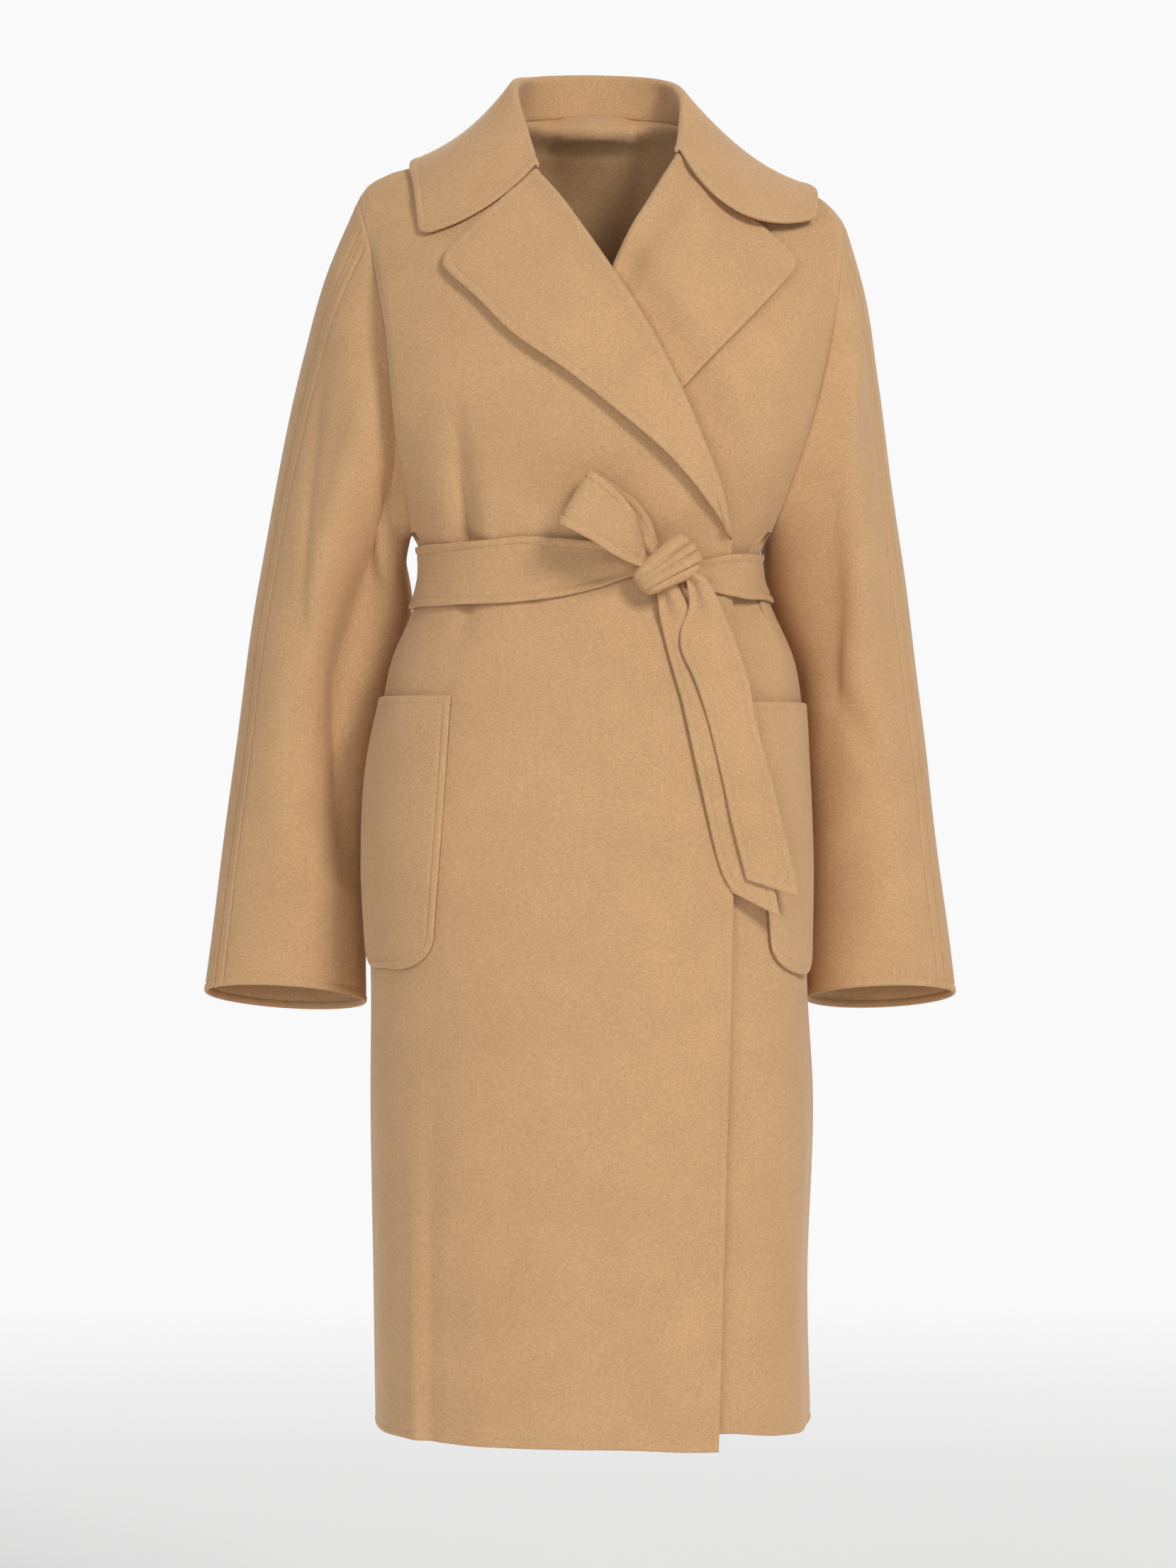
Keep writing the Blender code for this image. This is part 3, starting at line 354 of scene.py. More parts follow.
HEM_CORNER_DROP = 4
HEM_CORNER_WIDTH = 60
HEM_RISE = 7  # of the under front, next to the over front's edge
HEM_RISE_WIDTH = 42
SIDE_TUCK = {RIGHT: 3, LEFT: 6}  # how far the skirt's sides fall in, at the hem
SIDE_TUCK_HEIGHTS = (-520, -950)  # where that starts and is full

# The sleeves' folds: from a share of the length and an angle round it to another, with a width
# in degrees and a depth. The angle runs from the arm's top to its front.
SLEEVE_FOLDS = {
    RIGHT: (
        (-0.16, 142, 0.80, 134, 31, 30.0), (-0.04, 90, 0.56, 84, 10, -4.0),
        (0.12, 44, 0.50, 84, 8, 2.6), (0.30, 150, 0.62, 96, 14, 4.0),
        (0.38, 118, 0.70, 66, 9, 2.0), (0.45, 60, 0.98, 92, 18, -3.0),
        (0.55, 30, 0.97, 24, 10, 1.6), (0.06, 290, 0.60, 268, 14, 4.0),
        (0.35, 225, 0.70, 280, 14, 4.0), (0.50, 300, 0.97, 270, 16, -2.5),
    ),
    LEFT: (
        (-0.05, 132, 0.70, 122, 27, 9.0), (0.02, 86, 0.60, 78, 13, -2.4),
        (0.12, 36, 0.70, 58, 10, 1.8), (0.32, 150, 0.60, 92, 15, 3.6),
        (0.42, 120, 0.72, 70, 9, 1.8), (0.48, 66, 0.98, 88, 18, -2.8),
        (0.06, 288, 0.60, 266, 14, 4.0), (0.36, 228, 0.72, 284, 14, 4.0),
        (0.52, 304, 0.97, 276, 16, -2.5),
    ),
}
FOLD_SWELL = 0.8  # the lower, the sooner a fold is at its full depth
SLEEVE_LENGTH = 645
TOP_SEAM_ANGLE = 36
TOP_SEAM_HALF = 5.5  # degrees from its middle to each row of its stitching
TOP_SEAM_DEPTH = 0.4
STITCH_DEPTH = 1.3
STITCH_WIDTH = 1.4  # degrees
COLLAR_LENGTH = 600
COLLAR_CORNER = 11
STAND_HEIGHT = 12  # from which the collar's stand has its full shape
STAND_DROP = 3.5  # of its foot, inside the neck
STAND_INSET = 2.2
POCKET_WIDTH = 130

# Pleats across the belt at the knot: their depth, how many the width holds, and their phase.
BELT_PLEATS = (1.5, 1.5, 0.2)
LOOP_PLEATS = (2.2, 1.4, 0.35)
TAIL_PLEATS = (3.0, 1.1, 0.3)

# The knot's wraps, which lie side by side across it: each one's middle, half width, slope along
# the knot and height.
KNOT_WRAPS = (
    (-0.80, 0.25, -0.18, 0.84), (-0.36, 0.25, -0.08, 1.00), (0.05, 0.23, 0.03, 0.98),
    (0.58, 0.36, 0.17, 1.08),
)
KNOT_VALLEY = 0.66  # the knot's girth between two wraps, as a share of its size
KNOT_WRAP_RISE = 0.37  # what a wrap of height 1 adds
KNOT_BLUNT = (0.80, 0.62, 0.9)  # powers of its length, girth and roundness, each 1 when elliptic
KNOT_RINGS, KNOT_SIDES = 110, 160

# The flat cut of each piece in metres: its size, how it is held, its area, and what it lies on.
CUTS = {
    "front_right": ((0.52, 1.10), "draped", 0.42, "front_left"),
    "front_left": ((0.46, 1.10), "draped", 0.36, "back"),
    "back": ((0.54, 1.09), "draped", 0.50, "front_right"),
    "sleeve_right": ((0.38, 0.66), "draped", 0.23, "back"),
    "sleeve_left": ((0.36, 0.66), "draped", 0.22, "back"),
    "collar": ((0.15, 0.60), "folded", 0.08, "back", "front_right"),
    "pocket_right": ((0.14, 0.22), "laid", None, "front_right"),
    "pocket_left": ((0.13, 0.22), "laid", None, "front_left"),
    "belt_waist": ((0.051, 0.78), "stretched", None, "front_right"),
    "belt_loop": ((0.051, 0.16), "folded", None, "belt_knot"),
    "belt_tail_front": ((0.05, 0.26), "hung", None, "belt_knot"),
    "belt_tail_back": ((0.05, 0.26), "hung", None, "belt_knot"),
}

WOOL = (0.588, 0.362, 0.186)
WOOL_FINISH = {
    "Roughness": 0.9, "Specular IOR Level": 0.2,
    "Sheen Weight": 0.35, "Sheen Roughness": 0.4, "Sheen Tint": (1.0, 0.88, 0.74, 1),
}

# The wool's textures: the scale, the contrast and the depth of the relief, if there is one.
NAP = (1100.0, 0.30, 0.4 * MM)
TUFTS = (420.0, 0.26, 0.8 * MM)
PATCHES = (20.0, 0.10, None)

FLOOR_HEIGHT = -1.45
FLOOR_REACH = 60.0
FLOOR_PALE = (0.93, 0.93, 0.93, 1)
FLOOR_ROUGHNESS = 0.9
FLOOR_FADE = (1.0, 5.0)
ROOM_LIGHT = 0.18
BACKDROP_LIGHT = 0.95
ROOM_FADE = (-0.35, 0.5)  # the y of a direction where the room is darkest and brightest
CAMERA_AWAY = 4.0
CAMERA_ACROSS = -0.006
CAMERA_HEIGHT = -0.539
VIEW_HEIGHT = 1.2675

# Each lamp's name, size, power, place, aim and colour.
LIGHTS = (
    ("key", (1.0, 1.2), 106.0, (1.9, -3.4, 1.8), (0, 0, -0.5), (1.0, 0.985, 0.96)),
    ("fill", (2.0, 2.0), 44.0, (-1.5, -3.9, 0.3), (0, 0, -0.5), (0.98, 0.99, 1.0)),
    ("back", (2.4, 1.6), 20.0, (0.6, 3.0, 1.8), (0, 0, -0.4), (1, 1, 1)),
)


def ripple(a, b, size, seed):
    """A soft unevenness, from -1 to 1: four waves of unlike lengths and directions."""
    total = 0
    for k in range(4):
        turn = seed * 1.7 + k * 1.1
        wave = (a * math.cos(turn) + b * math.sin(turn)) * 2 * math.pi / (size * (0.7 + 0.23 * k))
        total = total + np.sin(wave + seed * 2.3 + k)
    return total / 4


def half_width(x, z):
    return np.where(np.asarray(x) < 0, along(WIDTH, "right", z), along(WIDTH, "left", z))


def shoulder_height(x):
    """Height of the shoulder line, smooth across the neck."""
    across = np.abs(x)
    across = np.where(across < NECK_BLEND, (across**2 / NECK_BLEND + NECK_BLEND) / 2, across)
    share = ease(np.asarray(x), -NECK_BLEND, NECK_BLEND)
    return (1 - share) * along(SHOULDER, "right", across) + share * along(SHOULDER, "left", across)


def level(x, z):
    """Height against the shoulder line, which fades into plain height by the chest."""
    return np.minimum(z - shoulder_height(x) * ease(z, *SLOPE_FADE), 0)


def fold_depth(x, z, folds):
    """How far a table of folds pushes the cloth in, at a point."""
    push = np.zeros(np.broadcast(x, z).shape)
    for from_x, from_z, to_x, to_z, width, depth in zip(*folds.values()):
        share = (z - from_z) / (to_z - from_z)
        strength = np.where(share < 1, ease(share), 0)
        push = push + depth * strength * bump(x - between(from_x, to_x, share), width)
    return push


def body_y(x, z, face, folded=True):
    """The body's y at a point of its front or back."""
    reach = np.minimum(np.abs(x) / half_width(x, z), 1)
    depth = along(DEPTH, "front" if face == FRONT else "back", level(x, z))
    y = face * depth * (1 - reach**ROUNDNESS) ** (1 / ROUNDNESS)
    if folded:
        push = fold_depth(x, z, FOLDS[face]) + fold_depth(x, z, CREASES[face])
        soft = RIPPLE * ripple(x, z, RIPPLE_SIZE, face + 3)
        y = y - face * (push + soft) * np.minimum(1, 4 * (1 - reach))
    return y


def ring_point(angle, z, lift=0.0):
    """A point of the level ring round the body: angle 0 in front, a quarter turn at +X."""
    across, ahead = np.sin(angle), np.cos(angle)
    deep = np.where(ahead > 0, along(DEPTH, "front", z), along(DEPTH, "back", z))
    x = (half_width(across, z) + lift) * blunt(across, 2 / ROUNDNESS)
    y = -(deep + lift) * blunt(ahead, 2 / ROUNDNESS)
    return np.stack(np.broadcast_arrays(x, y, z), -1)


def ring_angle(x, z):
    """The ring's angle at which its front half is at x."""
    reach = np.clip(np.abs(x) / half_width(x, z), 0, 1)
    return np.sign(x) * np.arcsin(reach ** (ROUNDNESS / 2))


def underlap(x, z):
    """How far the under front is pushed in, where the over front covers it."""
    roll = ROLL[RIGHT]
    share = (z - FRONT_BREAK_HEIGHT) / (roll["height"][0] - FRONT_BREAK_HEIGHT)
    roll_x = along(roll, "across", z, key="height")
    edge_x = np.where(share > 0, roll_x, along(FRONT_EDGE, "right", z))
    sink = between(BELT_SINK, UNDERLAP_SINK, ease(share, 0, SINK_SHARE))
    return sink * ease(x - edge_x, *SINK_EDGE)


# Shells of cloth.


def grid_quads(numbers):
    """The quads between a grid's points, from their numbers."""
    corners = (numbers[:-1, :-1], numbers[1:, :-1], numbers[1:, 1:], numbers[:-1, 1:])
    return np.stack(corners, -1).reshape(-1, 4)


class Shell:
    """One piece of cloth: the points on its middle, its quads and its open edges."""

    def __init__(self, name, *grids):
        self.name = name
        points = np.concatenate([grid.reshape(-1, 3) for grid in grids])
        quads, first = [], 0
        for grid in grids:
            count = grid.shape[0] * grid.shape[1]
            quads.append(grid_quads(first + np.arange(count).reshape(grid.shape[:2])))
            first += count
        keys = np.round(points / MERGE_DISTANCE).astype(np.int64)
        _, kept, merged = np.unique(keys, axis=0, return_index=True, return_inverse=True)
        self.points = points[kept]
        self.quads = merged.reshape(-1)[np.concatenate(quads)]
        self.quads = self.quads[np.linalg.norm(self.crosses(), axis=1) / 2 > LEAST_FACE]
        self.normals = self.point_normals()
        self.rim = self.borders()

    def crosses(self):
        """For each quad, a vector square to it that is as long as twice its area."""
        corners = self.points[self.quads]
        return np.cross(corners[:, 2] - corners[:, 0], corners[:, 3] - corners[:, 1])

    def point_normals(self):
        across = self.crosses()
        total = np.zeros_like(self.points)
        for k in range(4):
            np.add.at(total, self.quads[:, k], across)
        return total / np.maximum(np.linalg.norm(total, axis=1), TINY)[:, None]

    def borders(self):
        """The open edges, as pairs of points in the direction that their one face runs."""
        pairs = np.concatenate([self.quads[:, [k, (k + 1) % 4]] for k in range(4)])
        pairs = pairs[pairs[:, 0] != pairs[:, 1]]
        keys = np.sort(pairs, axis=1)
        _, where, counts = np.unique(keys, axis=0, return_inverse=True, return_counts=True)
        return pairs[counts[where.reshape(-1)] == 1]

    def distance_to(self, edges):
        """Each point's distance to the nearest of some open edges, or a metre without any."""
        if not len(edges):
            return np.full(len(self.points), 1000.0)
        spots = []
        for a, b in edges:
            count = max(1, int(np.linalg.norm(self.points[b] - self.points[a])))
            shares = np.arange(count)[:, None] / count
            spots.append(between(self.points[a], self.points[b], shares))
        spots = np.concatenate(spots)
        tree = kdtree.KDTree(len(spots))
        for number, spot in enumerate(spots):
            tree.insert(spot, number)
        tree.balance()
        return np.array([tree.find(point)[2] for point in self.points])

    def make(self, seams=()):
        """The closed shell, with a pressed band on each free edge and grooved seams."""
        sewn = np.isin(self.rim, list(seams)).all(axis=1)
        free_edges, seam_edges = self.rim[~sewn], self.rim[sewn]
        away = self.distance_to(free_edges)
        half = CLOTH / 2 * np.sqrt(1 - (1 - np.clip(away / EDGE_ROUND, 0, 1)) ** 2)
        groove = GROOVE_DEPTH * GROOVE_SHARES.get(self.name, 1.0)
        band = BAND_PUFF * bump(away - BAND_MIDDLE, BAND_WIDTH)
        band = band - groove * bump(away - GROOVE_AT, GROOVE_WIDTH)
        valley = SEAM_GROOVE * bump(self.distance_to(seam_edges), SEAM_WIDTH)
        offset = self.normals * (half + band - valley)[:, None]
        count = len(self.points)
        closing = np.zeros(count, bool)
        closing[free_edges.reshape(-1)] = True
        under = np.where(closing, np.arange(count), np.arange(count) + count)
        faces = self.quads.tolist() + under[self.quads][:, ::-1].tolist()
        faces += [[b, a, int(under[a]), int(under[b])] for a, b in seam_edges.tolist()]
        faces = [tidy_ring(ring) for ring in faces]
        outer, inner = self.points + offset, self.points - offset
        outer[closing] = self.points[closing]
        points = np.concatenate([outer, inner])
        return add_mesh(self.name, points, [ring for ring in faces if len(ring) > 2])


def tidy_ring(ring):
    """A face without the corners that are named twice in a row."""
    return [corner for k, corner in enumerate(ring) if corner != ring[k - 1]]


def add_mesh(name, points, faces):
    """A smooth mesh, without the points that no face uses."""
    used = np.zeros(len(points), bool)
    for ring in faces:
        used[ring] = True
    renumber = np.cumsum(used) - 1
    mesh = bpy.data.meshes.new("wool_" + name)
    rings = [renumber[ring].tolist() for ring in faces]
    mesh.from_pydata((points[used] * MM).tolist(), [], rings)
    mesh.shade_smooth()
    mesh.validate()
    return add_object(mesh.name, mesh)


def add_object(name, data):
    added = bpy.data.objects.new(name, data)
    bpy.context.scene.collection.objects.link(added)
    return added


def sew(shells):
    """Gives shells one normal where they meet, and returns each one's points on a seam."""
    meetings = {}
    for shell in shells:
        for number in np.unique(shell.rim).tolist():
            key = tuple(np.round(shell.points[number] / MEETING_DISTANCE).astype(int).tolist())
            meetings.setdefault(key, []).append((shell, number))
    seams = {shell.name: set() for shell in shells}
    for meeting in meetings.values():
        if len({shell.name for shell, _ in meeting}) < 2:
            continue
        shared = sum(shell.normals[number] for shell, number in meeting)
        for shell, number in meeting:
            shell.normals[number] = shared / np.linalg.norm(shared)
            seams[shell.name].add(number)
    return seams


def facing(grid, outward):
    """The grid, turned if need be to face outward, a direction or a function of a point."""
    i, j = len(grid) // 2, len(grid[0]) // 2
    down, across = grid[i + 1, j] - grid[i, j], grid[i, j + 1] - grid[i, j]
    direction = outward(grid[i, j]) if callable(outward) else outward
    return grid if np.cross(down, across) @ direction > 0 else grid[:, ::-1]


def emboss(grid, amount):
    """The grid, moved along its own normals by an amount for each point."""
    normal = np.cross(np.gradient(grid, axis=0), np.gradient(grid, axis=1))
    normal = normal / np.maximum(np.linalg.norm(normal, axis=2), TINY)[..., None]
    if np.allclose(grid[:, 0], grid[:, -1]):
        shared = normal[:, 0] + normal[:, -1]
        normal[:, 0] = normal[:, -1] = shared / np.linalg.norm(shared, axis=1)[:, None]
    return grid + normal * amount[..., None]


# Points across and down the cloth.
FRONT_WIDTH = 220
FINE = 5
LEAF_STEP = 3.5
STRIP_STEP = 3
LAPEL_EDGE_LENGTH = 330
LAPEL_LEAST = 40  # the length that the steps across a lapel are made for, at least
LAPEL_TIP = 13
TIP_STEPS = np.array([0, 0.3, 0.9, 1.8, 3, 4.5, 6.2, 8.2, 10.5, 13])
COLUMNS = np.concatenate([
    EDGE_STEPS / FRONT_WIDTH,
    np.linspace(EDGE_STEPS[-1] / FRONT_WIDTH, NECK_SHARE, 18)[1:],
    np.linspace(NECK_SHARE, 1, 28)[1:],
])
SEAM_ROWS = TOP_SEAM_ANGLE / 180 + np.arange(-9, 9.1, 0.9) / 180
ROWS = np.concatenate([
    TIP_STEPS / LAPEL_EDGE_LENGTH,
    np.linspace(0.04, SEAM_ROWS[0], 6)[1:-1],
    SEAM_ROWS,
    np.linspace(SEAM_ROWS[-1], 1, 56)[1:],
])
TURNS = np.linspace(0, 1, 15)[1:]
HEIGHTS = np.concatenate([
    np.arange(-349, HEM_HEIGHT + EDGE_STEPS[-1], -FINE),
    HEM_HEIGHT + EDGE_STEPS[::-1],
])


def drop(v):
    """The share of the armhole's height that a row lies down it."""
    return (1 - math.cos(math.pi * v)) / 2


def armhole_tuck(side, angle):
    """How far the armhole is tucked in, at an angle round it."""
    front, back = ARMHOLE_TUCK[side]
    return np.where(np.sin(angle) > 0, front, back) * np.sin(angle) ** 2


def armhole(side, angle):
    """A point of the armhole's seam: angle 0 at the shoulder, and on to the front first."""
    top, under = row_at(SLEEVE[side], 0)[:4].reshape(2, 2)
    middle = (top + under) / 2 + (top - under) / 2 * np.cos(angle)
    x = middle[0] - side * armhole_tuck(side, angle)
    return np.array([x, -ARMHOLE_DEPTH * np.sin(angle), middle[1]])


def shoulder_end(side):
    """The end of the shoulder seam, where the crest starts."""
    x = side * CREST[side]["across"][0]
    return np.array([x, float(shoulder_height(x))])


def turned_back(crest, seam, side):
    """Points from the crest of a panel round to its armhole seam, without the first."""
    control = (crest + seam) / 2
    bulge = min(abs(crest[1] - seam[1]) / TURN_BULGE_DEPTH, 1.0)
    outermost = side * (max(abs(crest[0]), abs(seam[0])) + TURN_BULGE)
    control[0] = between(control[0], outermost, bulge)
    return curve(crest, control, seam, TURNS[:, None])


def panel_points(x, z, face, side, v):
    """Points across a front or the back, with the neck's hollow in the back."""
    y = body_y(x, z, face)
    if v == 0:
        y = np.where(COLUMNS >= NECK_SHARE, 0, y)
    if face == FRONT and side == LEFT:
        y = y + underlap(x, z)
    if face == BACK:
        y = y + NECK_BACK_DEPTH * ease(np.abs(x), NECK_SIDE, NECK_FLAT) * (1 - v) ** 3
    return np.stack(np.broadcast_arrays(x, y, z), -1)


def upper_half(side, face, inner_edge, top):
    """The panel down to the underarm, from its inner edge to the armhole."""
    crest_heights = CREST[side]["height"]
    opening = ARMHOLE_OPENING * ease(COLUMNS, ARMHOLE_OPENS)
    t = COLUMNS[:, None]
    rows = []
    for v in ROWS:
        height = between(crest_heights[0], crest_heights[-1], drop(v))
        crest = np.array([side * along(CREST[side], "across", height), height])
        if v == 0:
            crest = shoulder_end(side)
        flat = (1 - t) * inner_edge(v) + t * crest
        flat = flat + (1 - v) * (top - (1 - t) * top[0] - t * top[-1])
        points = panel_points(flat[:, 0], flat[:, 1], face, side, v)
        seam = armhole(side, -face * math.pi * v)
        points[:, 1] = face * np.maximum(points[:, 1] * face, opening * abs(seam[1]))
        rows.append(np.vstack([points, turned_back(points[-1], seam, side)]))
    return np.array(rows)


def lower_half(side, face, inner_x):
    """The panel below the underarm, from its inner edge to the side seam."""
    rows = []
    for z in HEIGHTS:
        w = (z - UNDERARM_HEIGHT) / (HEM_HEIGHT - UNDERARM_HEIGHT)
        crest_share = CREST_SHARE + CREST_SHARE_TOP * math.exp(-CREST_FADE * w)
        crest_x = side * float(half_width(side, z)) * crest_share
        x = inner_x(z) * (1 - COLUMNS) + crest_x * COLUMNS
        first = float(ring_angle(crest_x, z)) * side
        if face == BACK:
            first = math.pi - first
        last = math.pi / 2 + SIDE_SEAM_BEHIND * ease(w, 0, 0.25)
        tuck = SIDE_TUCK[side] * ease(z, *SIDE_TUCK_HEIGHTS) * np.sin(math.pi * TURNS) ** 2
        turned = ring_point(side * between(first, last, TURNS), z, -tuck)
        rows.append(np.vstack([panel_points(x, z, face, side, 1.0), turned]))
    return np.array(rows)


def top_line(side, start):
    """The panel's top, along the neck and then the shoulder."""
    neck = np.array([side * NECK_SIDE, float(shoulder_height(side * NECK_SIDE))])
    t = COLUMNS / NECK_SHARE
    if start[0]:
        neckline = between(start, neck, t[:, None])
    else:
        neckline = np.stack([neck[0] * t, between(start[1], neck[1], t**2)], -1)
    share = (COLUMNS - NECK_SHARE) / (1 - NECK_SHARE)
    x = between(neck[0], shoulder_end(side)[0], share)
    shoulder = np.stack([x, shoulder_height(x)], -1)
    return np.where((COLUMNS < NECK_SHARE)[:, None], neckline, shoulder)


def roll_radius(share):
    """The radius of the lapel's fold, which narrows to nothing at the break."""
    return ROLL_RADIUS * min(1.0, BREAK_FADE * (1 - share) + 1e-9)


def roll_inward(side, share):
    """The direction across the panel from its roll line, square to the line."""
    ahead, behind = (row_at(ROLL[side], share + step) for step in (0.02, -0.02))
    run = (ahead - behind) / np.linalg.norm(ahead - behind)
    return np.array([-run[1], run[0]]) * side


def front_panel(side):
    """One front, from its roll line and free edge to the armhole and the side seam."""

    def roll_line(v):
        return row_at(ROLL[side], v) + roll_inward(side, v) * roll_radius(v)

    upper = upper_half(side, FRONT, roll_line, top_line(side, roll_line(0)))
    lower = lower_half(side, FRONT, lambda z: float(along(FRONT_EDGE, SIDE_NAMES[side], z)))
    return panel_hang(side, np.concatenate([upper, lower]))


def panel_hang(side, grid):
    """The front, with an uneven hem and an over front's edge that stands proud."""
    x, z = grid[..., 0], grid[..., 2].copy()
    low = ease(z, *HEM_FADE)
    if side == RIGHT:
        away = x[:, :1] - x
        peak = EDGE_PEAK * bump(z - EDGE_PEAK_HEIGHT, EDGE_PEAK_REACH)
        proud = peak + ease(z, *EDGE_LIFT_HEIGHTS)
        grid[..., 1] -= EDGE_LIFT * bump(away, EDGE_LIFT_WIDTH) * proud
        hem = HEM_DROP + HEM_CORNER_DROP * bump(away, HEM_CORNER_WIDTH)
        grid[..., 2] -= low * hem * ease(x, *HEM_DROP_FROM)
    else:
        beyond = np.maximum(x - along(FRONT_EDGE, "right", z), 0)
        grid[..., 2] += low * HEM_RISE * bump(beyond, HEM_RISE_WIDTH)
    return grid


def back_half(side):
    """Half of the back, from its middle to the armhole and the side seam."""
    start = np.array([0.0, NECK_BACK_HEIGHT])
    foot = np.array([0.0, UNDERARM_HEIGHT])
    upper = upper_half(side, BACK, lambda v: between(start, foot, drop(v)), top_line(side, start))
    return np.concatenate([upper, lower_half(side, BACK, lambda z: 0.0)])


def corner_share(away, length, radius):
    """How much of a row's length is left where a corner of that radius is rounded off."""
    cut = 1 - np.sqrt(1 - (1 - np.clip(away / radius, 0, 1)) ** 2)
    return 1 - cut * radius / length


def lapel(side, panel):
    """The lapel: the fold from the panel's edge, and the leaf that lies on the panel."""
    rows = []
    for row, v in enumerate(ROWS):
        base = panel[row][0]
        radius = roll_radius(v)
        angle = math.pi * min(1.0, TURN_FADE * (1 - v)) * np.linspace(0, 1, 11)[:, None]
        out = base[[0, 2]] - roll_inward(side, v) * radius * np.sin(angle)
        fold = np.hstack([out[:, :1], base[1] - radius * (1 - np.cos(angle)), out[:, 1:]])
        start = fold[-1]
        edge = row_at(LAPEL[side], v)
        length = max(np.linalg.norm(edge - start[[0, 2]]), LAPEL_LEAST)
        s = resampled(stepped(length, LEAF_STEP, from_start=False)[1:], 48)
        s = s * corner_share(v * LAPEL_EDGE_LENGTH, length, LAPEL_TIP)
        x, z = between(start[0], edge[0], s), between(start[2], edge[1], s)
        y = body_y(x, z, FRONT)
        if side == LEFT:
            y = y + underlap(x, z)
        y = y - (base[1] - start[1]) - lapel_lift(side, v, s)
        y = y - LAPEL_SOFT * ripple(x, z, LAPEL_SOFT_SIZE, 5 + side)
        join = ease(np.arange(len(s)), 0, 8)
        leaf = np.stack([x, start[1] * (1 - join) + y * join, z], -1)
        if v == 1:
            fold[:], leaf[:] = base, base
        rows.append(np.vstack([fold, leaf]))
    return np.array(rows)


def lapel_lift(side, v, s):
    """How far the leaf stands off beyond the roll, most at its outer edge."""
    if side == LEFT:
        return LAPEL_LIFT_LEFT * s * ease(v, 0.45, 0.15)
    return between(*LAPEL_LIFT_RIGHT, ease(v, 0, 1 / 1.2)) * s * min(1.0, LIFT_FADE * (1 - v))


def sleeve(side):
    """Rings from the armhole to the cuff, with folds and the seam along the arm's top."""
    around = np.concatenate([math.pi * ROWS, 2 * math.pi - math.pi * ROWS[-2::-1]])
    middle = (1 + np.cos(around)) / 2
    shares = stepped(SLEEVE_LENGTH, FINE, from_start=False)
    rings = []
    for share in shares:
        top_x, top_z, under_x, under_z, depth, behind, swing = row_at(SLEEVE[side], share)
        x = between(under_x, top_x, middle)
        x = x + side * swing * np.sin(around) * (1 - middle)
        x = x - side * max(0.0, 1 - 5 * share) * armhole_tuck(side, around)
        z = between(under_z, top_z, middle)
        z = z - CUFF_DIP * ease(share, 0.7) * (1 - np.sin(around)) / 2
        rings.append(np.stack([x, behind - depth * np.sin(around), z], -1))
    grid = np.array(rings)
    grid[:, -1] = grid[:, 0]
    faced = facing(grid, lambda p: p - grid.mean(axis=(0, 1)))
    relief = sleeve_relief(side, shares, around)
    return emboss(faced, relief if faced is grid else relief[:, ::-1])


def sleeve_relief(side, shares, around):
    """The sleeve's folds and its top seam, as a height for each point of its grid."""
    share, angle = shares[:, None], np.degrees(around)[None, :]
    across = np.sin(around)[None, :] * 80
    relief = SLEEVE_SOFT * ripple(share * SLEEVE_LENGTH, across, SLEEVE_SOFT_SIZE, side + 2)
    for start, first, end, last, width, depth in SLEEVE_FOLDS[side]:
        run = (share - start) / (end - start)
        off = (angle - between(first, last, run) + 180) % 360 - 180
        swell = np.sin(math.pi * np.clip(run, 0, 1)) ** FOLD_SWELL
        relief = relief - depth * swell * bump(off, width)
    for line in (-TOP_SEAM_HALF, 0, TOP_SEAM_HALF):
        depth = STITCH_DEPTH if line else TOP_SEAM_DEPTH
        relief = relief - depth * bump(angle - TOP_SEAM_ANGLE - line, STITCH_WIDTH)
    return relief * ease(share, 0, 0.02)


def body_shells():
    """The fronts, the back and the sleeves, which are sewn to each other."""
    shells, halves = [], []
    for side, name in SIDE_NAMES.items():
        panel = front_panel(side)
        turned = facing(lapel(side, panel), BACKWARD)
        shells.append(Shell("front_" + name, facing(panel, FORWARD), turned))
        shells.append(Shell("sleeve_" + name, sleeve(side)))
        halves.append(facing(back_half(side), BACKWARD))
    return [*shells, Shell("back", *halves)]


